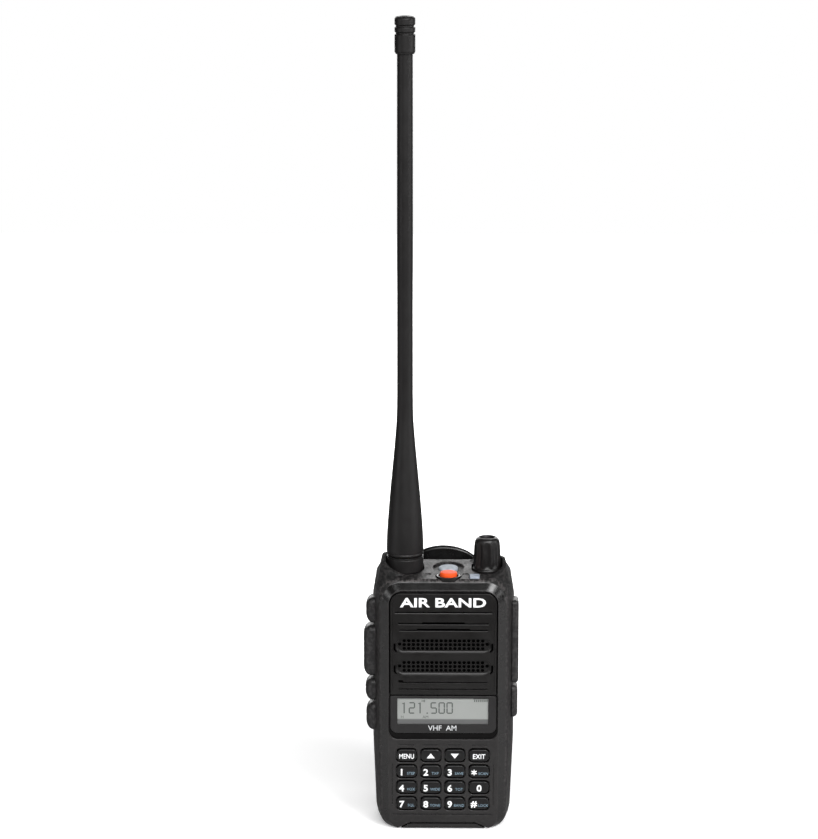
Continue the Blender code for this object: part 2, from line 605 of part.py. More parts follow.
def top_parts():
    profile = ((102.4, 1.9), (106.3, 1.9), (106.31, ALARM_RADIUS), (108.1, ALARM_RADIUS),
               (108.6, ALARM_RADIUS - 0.6))
    button = turned(profile, ALARM_X, ALARM_Y)
    smooth(add("alarm_button", button, "alarm_orange", (ALARM_X, ALARM_Y, 106.3)))
    ring = tube(((105.6, 5.0), (107.1, 5.0)), ((105.6, 4.0), (107.1, 4.0)), ALARM_X, ALARM_Y, 24)
    smooth(add("alarm_button_ring", ring, "side_rubber"))
    lens = turned(((105.5, TORCH_RADIUS), (107.4, TORCH_RADIUS), (107.9, 2.8)), TORCH_X, TORCH_Y, 24)
    smooth(add("torch_lens", lens, "lens_grey"))
    lens = prism(rounded(LED_X, LED_Y, LED_HALF_X, LED_HALF_Y, 0.7, 3), 105.2, 107.2, "Z")
    add("status_led_lens", lens, "lens_grey")

    flutes, base_z, top_of_knob = 10, 105.9, 120.4
    loops = []
    for z, radius, depth in ((base_z, 6.1, 0.0), (107.6, 6.1, 0.0), (107.9, 5.65, 0.45),
                             (118.6, 4.95, 0.45), (top_of_knob, 4.1, 0.0)):
        loop = []
        for step in range(flutes * 4):
            angle = 2 * math.pi * step / (flutes * 4)
            wave = radius - depth * (0.5 - 0.5 * math.cos(flutes * angle))
            loop.append((KNOB_X + wave * math.cos(angle), KNOB_Y + wave * math.sin(angle), z))
        loops.append(loop)
    knob = smooth(add("volume_knob", loft(loops), "gloss_black", (KNOB_X, KNOB_Y, base_z)), 50)
    socket = turned(((100, 3.9), (108.2, 3.9), (108.21, 1.9), (116.0, 1.9)), KNOB_X, KNOB_Y, 20)
    combine(knob, "shaft_socket", socket)
    shaft = turned(((100.0, 1.55), (115.6, 1.55)), KNOB_X, KNOB_Y, 16)
    smooth(add("volume_shaft", shaft, "steel", (KNOB_X, KNOB_Y, base_z)))


def antenna():
    axis = (ANTENNA_X, ANTENNA_Y, COLLAR_LOW)
    collar = tube(
        ((COLLAR_LOW, COLLAR_RADIUS - 0.5), (COLLAR_LOW + 0.5, COLLAR_RADIUS), (COLLAR_HIGH, COLLAR_RADIUS)),
        ((COLLAR_LOW, COLLAR_BORE), (COLLAR_HIGH, COLLAR_BORE)), ANTENNA_X, ANTENNA_Y, 32,
    )
    smooth(add("antenna_collar", collar, "antenna_rubber", axis))
    insert = tube(((106.2, 5.05), (114.0, 5.05)), ((106.2, 3.45), (114.0, 3.45)), ANTENNA_X, ANTENNA_Y, 24)
    smooth(add("antenna_connector", insert, "brass", axis))
    outside = turned((*SHEATH, (SPIGOT_TOP, SPIGOT_RADIUS)), ANTENNA_X, ANTENNA_Y, 32)
    sheath = smooth(add("antenna_sheath", outside, "antenna_rubber", axis))
    bore = ((110.0, COLLAR_BORE), (114.4, COLLAR_BORE), (114.5, 1.5), (317.0, 1.5))
    combine(sheath, "sheath_bore", turned(bore, ANTENNA_X, ANTENNA_Y, 16))
    rod = turned(((114.8, 1.15), (316.6, 1.15)), ANTENNA_X, ANTENNA_Y, 10)
    smooth(add("antenna_radiator", rod, "steel", axis))
    cap_profile = (
        (TIP_LOW, TIP_RADIUS - 0.5),
        (TIP_LOW + 0.8, TIP_RADIUS),
        (326.4, TIP_RADIUS),
        (326.9, TIP_RADIUS - 0.5),
        (327.5, TIP_RADIUS - 0.5),
        (328.0, TIP_RADIUS),
        (329.2, TIP_RADIUS),
        (329.7, TIP_RADIUS - 0.5),
        (330.3, TIP_RADIUS - 0.5),
        (330.8, TIP_RADIUS),
        (332.9, TIP_RADIUS),
        (TIP_HIGH, TIP_RADIUS - 1.0),
    )
    cap = smooth(add("antenna_tip_cap", turned(cap_profile, ANTENNA_X, ANTENNA_Y), "antenna_rubber", axis))
    combine(cap, "tip_socket", turned(((310, 3.3), (324.0, 3.3)), ANTENNA_X, ANTENNA_Y, 20))


def side_parts():
    middle = (SIDE_FRONT_Y + SIDE_REAR_Y) / 2
    half_depth = (SIDE_REAR_Y - SIDE_FRONT_Y) / 2
    for name, (low, high, outer) in SIDE_KEYS.items():
        loops = []
        for x, inset in ((SIDE_KEY_INNER_X, 0.0), (outer + 2.0, 0.0), (outer + 1.0, 0.5), (outer + 0.35, 1.4),
                         (outer, 2.8)):
            outline = rounded(middle, (low + high) / 2, half_depth - inset, (high - low) / 2 - inset,
                              2.4 - inset / 2, 3)
            loops.append([(x, u, v) for u, v in outline])
        smooth(add(name, loft(loops), "side_rubber", (outer, middle, (low + high) / 2)))

    hinge = (JACK_COVER_X - 0.4, middle, JACK_COVER_LOW - 0.3)
    centre = (JACK_COVER_LOW + JACK_COVER_HIGH) / 2
    half = (JACK_COVER_HIGH - JACK_COVER_LOW) / 2
    loops = []
    for x, inset in ((JACK_COVER_X - COVER_THICK, 0.0), (JACK_COVER_X - 0.9, 0.0), (JACK_COVER_X, 1.2)):
        outline = rounded(middle, centre, half_depth - inset, half - inset, 1.6, 3)
        loops.append([(x, u, v) for u, v in outline])
    cover = smooth(add("jack_cover", loft(loops), "side_rubber", hinge))
    plugs = None
    for z, radius in SOCKETS:
        plugs = prism(circle(SOCKET_Y, z, radius - 0.35, 12), 27.0, JACK_COVER_X - 1.0, "X", plugs)
    combine(cover, "plugs", plugs, "UNION")

    centre = (ANCHOR_LOW + ANCHOR_HIGH) / 2
    half = (ANCHOR_HIGH - ANCHOR_LOW) / 2
    loops = []
    for x, inset in ((JACK_COVER_X - COVER_THICK, 0.0), (JACK_COVER_X - 1.3, 0.0), (JACK_COVER_X - 0.3, 1.4)):
        outline = rounded(middle, centre, half_depth - inset, half - inset, 1.6, 3)
        loops.append([(x, u, v) for u, v in outline])
    smooth(add("jack_cover_anchor", loft(loops), "side_rubber"))


def battery():
    shell = loft([case_loop(*section) for section in BATTERY_SECTIONS])
    top = (0.0, BATTERY_FRONT_Y, BATTERY_TOP)
    case = smooth(add("battery_case", shell, "case_plastic", top), 30)
    combine(case, "lid_seat", box((-26.6, 0, 2.4), (26.6, 6.7, 92.8)))
    combine(case, "cell_space", box((-25.0, 0, 4.2), (25.0, 13.6, 91.0)))
    plate = box((-26.3, BATTERY_FRONT_Y, 2.7), (26.3, LID_BACK_Y, 92.5))
    lid = add("battery_lid", plate, "case_plastic", top)
    grooves = None
    for side in (-1, 1):
        x = side * RAIL_X
        grooves = box((x - RAIL_HALF - 0.35, 0, -5), (x + RAIL_HALF + 0.35, 5.3, 99), grooves)
    combine(lid, "rail_grooves", grooves)
    for side, name in ((-1, "left"), (1, "right")):
        low_x, high_x = sorted((side * 0.3, side * 24.6))
        cell = box((low_x, 6.8, 4.6), (high_x, CELL_BACK_Y, 90.6))
        add(f"battery_cell_{name}", cell, "cell_blue", top)


def latch():
    pivot = (0.0, LATCH_PIVOT_Y, LATCH_PIVOT_Z)
    face = prism(latch_outline(LATCH_LOW, LATCH_HIGH, 0.0), FRONT_Y, -12.0, "Y")
    lever = add("battery_latch", face, "case_plastic", pivot)
    boss = box((-13.0, LATCH_PIVOT_Y - 1.3, 1.0), (13.0, LATCH_PIVOT_Y + 1.3, 3.7))
    combine(lever, "pivot_boss", boss, "UNION")
    for side, name in ((-1, "left"), (1, "right")):
        low_x, high_x = sorted((side * (LAND_HALF + 0.9), side * (LATCH_HALF_TOP - 0.3)))
        arm = box((low_x, -13.0, LATCH_LOW + 0.02), (high_x, LATCH_REAR_Y, LATCH_HIGH - 0.02))
        combine(lever, f"arm_{name}", arm, "UNION")
    combine(lever, "pin_bore", prism(circle(LATCH_PIVOT_Y, LATCH_PIVOT_Z, 0.9, 12), -40, 40, "X"))
    pin = prism(circle(LATCH_PIVOT_Y, LATCH_PIVOT_Z, 0.6, 12), -15.2, 15.2, "X")
    smooth(add("battery_latch_pin", pin, "steel"))


def belt_clip():
    low_y = TOP_REAR_Y + GAP
    plate = prism(rounded(0, 100.6, 9.0, 4.8, 1.5, 3), low_y, low_y + 1.6, "Y")
    bracket = add("clip_bracket", plate, "steel")
    ears = None
    for side in (-1, 1):
        low_x, high_x = sorted(side * x for x in EAR_X)
        rear_y = CLIP_PIVOT_Y + 1.4
        ear = rounded((low_y + rear_y) / 2, CLIP_PIVOT_Z, (rear_y - low_y) / 2, 1.5, 1.4, 3)
        ears = prism(ear, low_x, high_x, "X", ears)
    combine(bracket, "ears", ears, "UNION")
    combine(bracket, "pin_holes", prism(circle(CLIP_PIVOT_Y, CLIP_PIVOT_Z, PIN_BORE, 12), -20, 20, "X"))
    screw_holes = None
    for side in (-1, 1):
        hole = circle(side * CLIP_SCREW_X, CLIP_SCREW_Z, SCREW_HOLE, 10)
        screw_holes = prism(hole, 10, 20, "Y", screw_holes)
    combine(bracket, "screw_holes", screw_holes)
    pin = prism(circle(CLIP_PIVOT_Y, CLIP_PIVOT_Z, CLIP_PIN_RADIUS, 12), -9.0, 9.0, "X")
    smooth(add("clip_pin", pin, "steel"))

    pivot = (0.0, CLIP_PIVOT_Y, CLIP_PIVOT_Z)
    clip = add("belt_clip", clip_solid(), "gloss_black", pivot)
    knuckles = None
    for side in (-1, 1):
        low_x, high_x = sorted(side * x for x in KNUCKLE_X)
        outline = rounded((CLIP_PIVOT_Y + CLIP_INNER_Y) / 2 + 0.1, CLIP_PIVOT_Z,
                          (CLIP_INNER_Y - CLIP_PIVOT_Y) / 2 + 1.6, 1.6, 1.5, 3)
        knuckles = prism(outline, low_x, high_x, "X", knuckles)
    combine(clip, "knuckles", knuckles, "UNION")
    combine(clip, "knuckle_bores", prism(circle(CLIP_PIVOT_Y, CLIP_PIVOT_Z, PIN_BORE, 12), -6.0, 6.0, "X"))
    add("clip_spring", spring_solid(), "steel")


def clip_solid():
    """A strip that follows the battery's back, with a round thumb tab on top and a toe that leans inwards."""
    stations = list(CLIP_STATIONS)
    centre_z = CLIP_HIGH - CLIP_HEAD_RADIUS + 4.0
    high_z = CLIP_HIGH - 0.35
    for step in range(CLIP_HEAD_STEPS):
        z = CLIP_HEAD_LOW + (high_z - CLIP_HEAD_LOW) * step / (CLIP_HEAD_STEPS - 1)
        half = math.sqrt(max(CLIP_HEAD_RADIUS**2 - ((z - centre_z) / CLIP_HEAD_STRETCH) ** 2, 1.0))
        stations.append((z, CLIP_INNER_Y, max(half, 3.0)))
    loops = []
    for z, y, half in stations:
        loops.append([(-half, y, z), (half, y, z), (half, y + CLIP_THICK, z), (-half, y + CLIP_THICK, z)])
    return loft(loops)


def spring_solid():
    """The torsion spring round the clip's pin: a wire in close turns, closed at both ends."""
    work = bmesh.new()
    turns, per_turn, sides = 3.5, 12, 6
    mean_radius, wire, low_x, high_x = 1.75, 0.3, -1.9, 1.9
    rings = []
    total = int(turns * per_turn)
    for step in range(total + 1):
        angle = 2 * math.pi * step / per_turn
        x = low_x + (high_x - low_x) * step / total
        ring = []
        for side in range(sides):
            around = 2 * math.pi * side / sides
            radius = mean_radius + wire * math.cos(around)
            ring.append(work.verts.new((x + wire * math.sin(around),
                                        CLIP_PIVOT_Y + radius * math.cos(angle),
                                        CLIP_PIVOT_Z + radius * math.sin(angle))))
        rings.append(ring)
    for first, second in zip(rings, rings[1:]):
        for i in range(sides):
            j = (i + 1) % sides
            work.faces.new((first[i], first[j], second[j], second[i]))
    work.faces.new(rings[0][::-1])
    work.faces.new(rings[-1])
    return work


def clip_screws():
    for side, name in ((-1, "left"), (1, "right")):
        add_screw(f"clip_screw_{name}", side * CLIP_SCREW_X, CLIP_SCREW_Z, 11.5, TOP_REAR_Y + 3.0, 1.45)


def build():
    clear_scene()
    front_case()
    grille_panel()
    front_inserts()
    keys()
    inner_parts()
    top_parts()
    antenna()
    side_parts()
    battery()
    latch()
    belt_clip()
    clip_screws()


build()
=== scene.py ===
"""The looks of a handheld aviation radio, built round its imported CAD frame.

Meshes are made in millimetres in the frame's own axes and scaled to metres as they become objects:
+X is the side with the jack cover, -Y is the front with the keypad, +Z is up.
"""

import math

import bmesh
import bpy
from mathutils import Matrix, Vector


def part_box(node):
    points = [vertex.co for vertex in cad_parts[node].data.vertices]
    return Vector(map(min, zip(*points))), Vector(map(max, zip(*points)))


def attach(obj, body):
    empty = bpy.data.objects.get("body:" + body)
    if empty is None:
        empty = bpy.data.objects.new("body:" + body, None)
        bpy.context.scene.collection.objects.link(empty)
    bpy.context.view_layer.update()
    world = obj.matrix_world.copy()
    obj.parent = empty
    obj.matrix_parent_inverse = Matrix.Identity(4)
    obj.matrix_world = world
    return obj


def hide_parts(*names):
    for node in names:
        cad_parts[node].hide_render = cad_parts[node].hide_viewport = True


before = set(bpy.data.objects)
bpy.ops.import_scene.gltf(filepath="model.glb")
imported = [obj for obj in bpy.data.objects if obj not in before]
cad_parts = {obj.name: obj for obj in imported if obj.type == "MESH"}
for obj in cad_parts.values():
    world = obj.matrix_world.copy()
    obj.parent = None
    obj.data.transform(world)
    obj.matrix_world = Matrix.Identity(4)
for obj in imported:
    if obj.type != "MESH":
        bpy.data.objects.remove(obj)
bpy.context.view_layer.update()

MM = 0.001


def span(node):
    """The lowest and highest corner of a CAD node, in millimetres."""
    low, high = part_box(node)
    return low / MM, high / MM


def middle(node):
    low, high = span(node)
    return (low + high) / 2


# ---- places read from the frame ----

CASE_LOW, CASE_HIGH = span("front_case")
FRONT_Y = CASE_LOW.y
HALF_WIDTH = CASE_HIGH.x
TOP_REAR_Y = CASE_HIGH.y
GRILLE_LOW, GRILLE_HIGH = span("speaker_grille_panel")
WINDOW_LOW, WINDOW_HIGH = span("display_window")
BATTERY_LOW, BATTERY_HIGH = span("battery_case")
ANTENNA = middle("antenna_sheath")
KNOB = middle("volume_knob")
ALARM = middle("alarm_button")
TORCH = middle("torch_lens")
LED_LOW, LED_HIGH = span("status_led_lens")

# ---- the case's own sizes, as the CAD has them ----

RIDGE_Y, RIDGE_HALF = -14.5, 26.1
PANEL_HALF, PANEL_TOP = 22.5, 102.2
WAIST_Z, SHOULDER_Z = 36.0, 96.8
TOP_FRONT_Z, TOP_SLOPE = 106.3, math.tan(math.radians(5.0))
PARTING_Y, BAY_TOP = 3.8, 95.4
POCKET_Z, CEILING_Z, FLOOR_INSIDE_Z = 105.6, 103.4, 5.2
INSERT_DEPTH = 1.35
RECESS_LOW = 38.9
PANEL_TOP_EDGE = GRILLE_HIGH.z - 0.55


def top_z(y):
    return TOP_FRONT_Z + TOP_SLOPE * (y - RIDGE_Y)


# ---- mesh tools, all in millimetres ----


def make(name, work, look=None, body=None, stands_for=()):
    """Turns a work mesh into an object in metres that rides on a body."""
    bmesh.ops.recalc_face_normals(work, faces=work.faces)
    bmesh.ops.scale(work, verts=work.verts, vec=(MM, MM, MM))
    data = bpy.data.meshes.new(name)
    work.to_mesh(data)
    work.free()
    obj = bpy.data.objects.new(name, data)
    bpy.context.scene.collection.objects.link(obj)
    if look:
        data.materials.append(look)
    if body:
        settle(obj, body, stands_for)
    return obj


def settle(obj, body, stands_for=()):
    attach(obj, body)
    if stands_for:
        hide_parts(*stands_for)
    return obj


def loft(loops, work=None):
    """A closed solid through loops of equal length, with flat caps on the first and the last."""
    work = work or bmesh.new()
    rings = [[work.verts.new(point) for point in loop] for loop in loops]
    for lower, upper in zip(rings, rings[1:]):
        for i in range(len(lower)):
            j = (i + 1) % len(lower)
            work.faces.new((lower[i], lower[j], upper[j], upper[i]))
    work.faces.new(rings[0][::-1])
    work.faces.new(rings[-1])
    return work


def ring_of(loops, work=None):
    """A closed band through loops, the last joined to the first, for turned rings and frames."""
    work = work or bmesh.new()
    rings = [[work.verts.new(point) for point in loop] for loop in loops]
    for lower, upper in zip(rings, rings[1:] + rings[:1]):
        for i in range(len(lower)):
            j = (i + 1) % len(lower)
            work.faces.new((lower[i], lower[j], upper[j], upper[i]))
    return work


def facing(axis, u, v, depth):
    """A point whose outline coordinates are u and v and whose place along the axis is depth."""
    return {"X": (depth, u, v), "Y": (u, depth, v), "Z": (u, v, depth)}[axis]


def rounded(u, v, half_u, half_v, radius, steps=8):
    """A rectangle with round corners about (u, v)."""
    radius = max(min(radius, half_u, half_v), 0.02)
    points = []
    for side_u, side_v, start in ((1, 1, 0), (-1, 1, 90), (-1, -1, 180), (1, -1, 270)):
        for step in range(steps + 1):
            angle = math.radians(start + 90 * step / steps)
            points.append((u + side_u * (half_u - radius) + radius * math.cos(angle),
                           v + side_v * (half_v - radius) + radius * math.sin(angle)))
    return points


def panel_outline(low, high, half, lower, upper, grow=0.0, steps=12):
    """A panel about x = 0 between two heights, its lower and upper corners with radii of their own."""
    points = []
    for side_u, edge, side_v, radius, start in ((1, high, 1, upper, 0), (-1, high, 1, upper, 90),
                                                (-1, low, -1, lower, 180), (1, low, -1, lower, 270)):
        radius = max(radius + grow, 0.02)
        for step in range(steps + 1):
            angle = math.radians(start + 90 * step / steps)
            points.append((side_u * (half + grow - radius) + radius * math.cos(angle),
                           edge + side_v * (grow - radius) + radius * math.sin(angle)))
    return points


def circle(u, v, radius, steps=64):
    angles = [2 * math.pi * i / steps for i in range(steps)]
    return [(u + radius * math.cos(a), v + radius * math.sin(a)) for a in angles]


def plate(axis, outline, back, front, edge, steps=5, back_edge=0.0, work=None):
    """A slab with a rounded edge on its front face; outline(grow) gives its outline, grown or shrunk."""
    towards = 1.0 if front > back else -1.0
    loops = []
    if back_edge:
        for step in range(steps):
            angle = math.radians(90 * step / steps)
            loops.append((back_edge * (math.sin(angle) - 1), back + towards * back_edge * (1 - math.cos(angle))))
    else:
        loops.append((0.0, back))
    for step in range(steps + 1):
        angle = math.radians(90 * step / steps)
        loops.append((edge * (math.cos(angle) - 1), front - towards * edge * (1 - math.sin(angle))))
    return loft([[facing(axis, u, v, depth) for u, v in outline(grow)] for grow, depth in loops], work)


def flared(axis, outline, surface, depth, lip, work=None, outwards=None):
    """A cutter that leaves a softly rounded lip where it enters the surface and goes straight down from there."""
    inwards = 1.0 if depth > surface else -1.0
    profile = [(lip, surface - inwards * (outwards or 1.0)), (lip, surface - inwards * 0.01)]
    for step in range(1, 5):
        angle = math.radians(90 * step / 4)
        profile.append((lip * (1 - math.sin(angle)), surface + inwards * lip * (1 - math.cos(angle))))
    profile.append((0.0, depth))
    return loft([[facing(axis, u, v, d) for u, v in outline(grow)] for grow, d in profile], work)


def turned(profile, x, y, steps=64, work=None):
    """A solid turned about the vertical line at (x, y), from (height, radius) pairs up the outside."""
    loops = [[(*point, height) for point in circle(x, y, radius, steps)] for height, radius in profile]
    return loft(loops, work)


def turned_ring(profile, x, y, steps=64):
    loops = [[(*point, height) for point in circle(x, y, radius, steps)] for height, radius in profile]
    return ring_of(loops)


def filleted(points, radius, steps=4):
    """The corners inside an open line of points, each replaced by a short curve."""
    made = [points[0]]
    for before, corner, after in zip(points, points[1:], points[2:]):
        first = [b - c for b, c in zip(before, corner)]
        second = [a - c for a, c in zip(after, corner)]
        first_length = math.dist(before, corner)
        second_length = math.dist(after, corner)
        reach = min(radius, first_length * 0.45, second_length * 0.45)
        start = [c + f * reach / first_length for c, f in zip(corner, first)]
        end = [c + s * reach / second_length for c, s in zip(corner, second)]
        for step in range(steps + 1):
            t = step / steps
            made.append(tuple((1 - t) ** 2 * a + 2 * t * (1 - t) * c + t * t * b
                              for a, c, b in zip(start, corner, end)))
    made.append(points[-1])
    return made


def change(obj, kind, work, solver="EXACT"):
    """Cuts a work mesh from the object, or joins it on, at once."""
    tool = make("tool", work)
    modifier = obj.modifiers.new("change", "BOOLEAN")
    modifier.operation = kind
    modifier.solver = solver
    modifier.object = tool
    apply_modifiers(obj)
    old = tool.data
    bpy.data.objects.remove(tool)
    bpy.data.meshes.remove(old)
    return obj


def cut(obj, work):
    return change(obj, "DIFFERENCE", work)


def join(obj, work):
    return change(obj, "UNION", work)


def apply_modifiers(obj):
    graph = bpy.context.evaluated_depsgraph_get()
    graph.update()
    fresh = bpy.data.meshes.new_from_object(obj.evaluated_get(graph), depsgraph=graph)
    old = obj.data
    obj.modifiers.clear()
    obj.data = fresh
    bpy.data.meshes.remove(old)


def bevelled(obj, width, segments=3, degrees=38.0):
    modifier = obj.modifiers.new("edges", "BEVEL")
    modifier.width = width * MM
    modifier.segments = segments
    modifier.limit_method = "ANGLE"
    modifier.angle_limit = math.radians(degrees)
    apply_modifiers(obj)
    return obj


def shaded(obj, degrees=32.0, weighted=True):
    obj.data.shade_smooth()
    obj.data.set_sharp_from_angle(angle=math.radians(degrees))
    if weighted:
        modifier = obj.modifiers.new("weighted", "WEIGHTED_NORMAL")
        modifier.keep_sharp = True
    return obj


# ---- materials ----


def put(tree, kind, settings=None, **inputs):
    """Adds a node; a keyword is an input's name, with _ for a space, and its value is a socket or a constant."""
    made = tree.nodes.new(kind)
    for key, value in (settings or {}).items():
        setattr(made, key, value)
    for key, value in inputs.items():
        wire(tree, made.inputs[key.replace("_", " ")], value)
    return made


def wire(tree, socket, value):
    if isinstance(value, bpy.types.NodeSocket):
        tree.links.new(value, socket)
    else:
        socket.default_value = value


def maths(tree, operation, first, second=0.0):
    made = tree.nodes.new("ShaderNodeMath")
    made.operation = operation
    wire(tree, made.inputs[0], first)
    wire(tree, made.inputs[1], second)
    return made.outputs[0]


def ramp(tree, value, low, high, out_low=0.0, out_high=1.0):
    made = put(tree, "ShaderNodeMapRange", {"interpolation_type": "SMOOTHSTEP"}, Value=value)
    for name, number in (("From Min", low), ("From Max", high), ("To Min", out_low), ("To Max", out_high)):
        made.inputs[name].default_value = number
    return made.outputs["Result"]


def noise(tree, place, size, detail=3.0, roughness=0.55):
    """Noise whose features are about size metres across."""
    made = put(tree, "ShaderNodeTexNoise", Vector=place, Scale=1.0 / size, Detail=detail, Roughness=roughness)
    return made.outputs["Fac"]


def between(tree, factor, first, second):
    made = put(tree, "ShaderNodeMix", {"data_type": "RGBA"})
    wire(tree, made.inputs["Factor"], factor)
    made.inputs["A"].default_value = first
    made.inputs["B"].default_value = second
    for socket in made.inputs:
        if socket.type == "RGBA":
            socket.default_value = first if socket.name == "A" else second
    return next(s for s in made.outputs if s.type == "RGBA")


def start_material(name):
    made = bpy.data.materials.new(name)
    made.use_nodes = True
    tree = made.node_tree
    shader = tree.nodes["Principled BSDF"]
    place = tree.nodes.new("ShaderNodeTexCoord").outputs["Object"]
    return made, tree, shader, place


def shade_of(colour, factor):
    return (*[channel * factor for channel in colour], 1.0)


def moulded(name, colour, roughness, specular=0.3, grain=0.012, grain_size=0.00035, mottle=0.12,
            coat=0.0, metallic=0.0, leather=False, speckle=0.0):
    """Moulded plastic or rubber: fine spark texture, slow colour drift and uneven gloss from handling.

    grain is the texture's height in millimetres. With speckle, the coarse pebbles are lighter in colour on
    their tops, a painted highlight, and darker in their hollows, painted shade. With leather, the top and
    the shoulders carry pebbled grain and the bezel in front of the ridge stays nearly smooth; the chamfer is
    darkened as a painted dark reflection, the shoulders as painted shade, and a band along the ridge is
    lightened as a painted highlight.
    """
    made, tree, shader, place = start_material(name)
    fine = noise(tree, place, grain_size, 2.0)
    slow = noise(tree, place, 0.014, 4.0, 0.6)
    handled = noise(tree, place, 0.0045, 5.0, 0.65)
    tint = between(tree, ramp(tree, slow, 0.3, 0.7), shade_of(colour, 1 - mottle), shade_of(colour, 1 + mottle))
    wire(tree, shader.inputs["Base Color"], tint)
    gloss = ramp(tree, handled, 0.3, 0.72, roughness - 0.06, roughness + 0.05)
    wire(tree, shader.inputs["Roughness"], gloss)
    height = maths(tree, "MULTIPLY", fine, grain)
    if leather or speckle:
        # The grain runs a little longer from front to back, as the hide of the mould was stretched.
        stretched = put(tree, "ShaderNodeVectorMath", {"operation": "MULTIPLY"})
        wire(tree, stretched.inputs[0], place)
        stretched.inputs[1].default_value = (1.0, 0.5, 1.0)
        crumbs = noise(tree, stretched.outputs[0], 0.00115, 2.0, 0.6)
        # Raised pebbles get a lighter colour, a painted highlight, and the hollows between them a darker one, painted
        # shade.
        grain_light_and_shade = ramp(tree, crumbs, 0.43, 0.62, 0.15, 2.9)
        cover = speckle
        if leather:
            axes = put(tree, "ShaderNodeSeparateXYZ", Vector=place)
            behind_ridge = ramp(tree, axes.outputs["Y"], -0.0151, -0.0147)
            chamfer = maths(tree, "SUBTRACT", ramp(tree, axes.outputs["Y"], -0.0169, -0.0166), behind_ridge)
            chamfer = maths(tree, "MULTIPLY", chamfer, ramp(tree, axes.outputs["Z"], 0.0965, 0.0995, 0.55, 1.0))
            ridge_highlight = maths(tree, "SUBTRACT", behind_ridge, ramp(tree, axes.outputs["Y"], -0.0132, -0.0114))
            ridge_highlight = maths(tree, "MULTIPLY", ridge_highlight, ramp(tree, axes.outputs["Z"], 0.094, 0.104))
            above = ramp(tree, axes.outputs["Z"], 0.0955, 0.1010, 0.45, 1.0)
            cover = ramp(tree, maths(tree, "MULTIPLY", above, behind_ridge), 0.0, 1.0, 0.10, 0.95)
            gloss = maths(tree, "MULTIPLY", gloss, ramp(tree, behind_ridge, 0.0, 1.0, 0.72, 1.1))
            gloss = maths(tree, "MULTIPLY", gloss, ramp(tree, chamfer, 0.0, 1.0, 1.0, 0.72))
            wire(tree, shader.inputs["Roughness"], gloss)
        height = maths(tree, "ADD", height, maths(tree, "MULTIPLY", maths(tree, "MULTIPLY", crumbs, 0.16), cover))
        shade = maths(tree, "ADD", maths(tree, "MULTIPLY", maths(tree, "SUBTRACT", grain_light_and_shade, 1.0), cover), 1.0)
        if leather:
            # The smooth chamfer in front of the ridge is darker in colour, most along the top: a painted dark
            # reflection.
            shade = maths(tree, "MULTIPLY", shade, ramp(tree, chamfer, 0.0, 1.0, 1.0, 0.22))
            # The shoulders outside the ridge band are darkened in colour as painted shade, and are made duller.
            outer = put(tree, "ShaderNodeMath", {"operation": "ABSOLUTE"})
            wire(tree, outer.inputs[0], axes.outputs["X"])
            outer = ramp(tree, outer.outputs[0], 0.0170, 0.0215)
            outer = maths(tree, "MULTIPLY", maths(tree, "MULTIPLY", outer, behind_ridge), ramp(tree, axes.outputs["Z"], 0.098, 0.102))
            shade = maths(tree, "MULTIPLY", shade, ramp(tree, outer, 0.0, 1.0, 1.0, 0.55))
            gloss = maths(tree, "MULTIPLY", gloss, ramp(tree, outer, 0.0, 1.0, 1.0, 1.6))
            wire(tree, shader.inputs["Roughness"], gloss)
            # A band along the ridge, where the top rounds over to the front, is lightened: a painted highlight.
            shade = maths(tree, "MULTIPLY", shade, ramp(tree, ridge_highlight, 0.0, 1.0, 1.0, 2.1))
        scaled = put(tree, "ShaderNodeVectorMath", {"operation": "SCALE"}, Scale=shade)
        wire(tree, scaled.inputs[0], tint)
        wire(tree, shader.inputs["Base Color"], scaled.outputs[0])
    bump = put(tree, "ShaderNodeBump", Height=height, Strength=1.0, Distance=MM)
    wire(tree, shader.inputs["Normal"], bump.outputs["Normal"])
    shader.inputs["Specular IOR Level"].default_value = specular
    shader.inputs["Metallic"].default_value = metallic
    shader.inputs["Coat Weight"].default_value = coat
    return made


def metal(name, colour, roughness, brush_axis=None, grain=0.006):
    """Machined or cast metal; brushing runs along the named axis."""
    made, tree, shader, place = start_material(name)
    stretch = {"X": (0.05, 1, 1), "Y": (1, 0.05, 1), "Z": (1, 1, 0.05)}.get(brush_axis, (1, 1, 1))
    brushed = put(tree, "ShaderNodeVectorMath", {"operation": "MULTIPLY"})
    wire(tree, brushed.inputs[0], place)
    brushed.inputs[1].default_value = stretch
    lines = noise(tree, brushed.outputs[0], 0.00025, 3.0)
    slow = noise(tree, place, 0.006, 3.0)
    tint = between(tree, slow, shade_of(colour, 0.88), shade_of(colour, 1.08))
    wire(tree, shader.inputs["Base Color"], tint)
    wire(tree, shader.inputs["Roughness"], ramp(tree, lines, 0.25, 0.75, roughness - 0.08, roughness + 0.1))
    bump = put(tree, "ShaderNodeBump", Height=maths(tree, "MULTIPLY", lines, grain), Strength=1.0, Distance=MM)
    wire(tree, shader.inputs["Normal"], bump.outputs["Normal"])
    shader.inputs["Metallic"].default_value = 1.0
    return made


def printed(name, colour, roughness=0.5):
    """Screen-printed ink: slightly uneven cover."""
    made, tree, shader, place = start_material(name)
    patches = noise(tree, place, 0.0006, 3.0)
    tint = between(tree, ramp(tree, patches, 0.25, 0.6), shade_of(colour, 0.88), shade_of(colour, 1.0))
    wire(tree, shader.inputs["Base Color"], tint)
    shader.inputs["Roughness"].default_value = roughness
    shader.inputs["Specular IOR Level"].default_value = 0.3
    return made


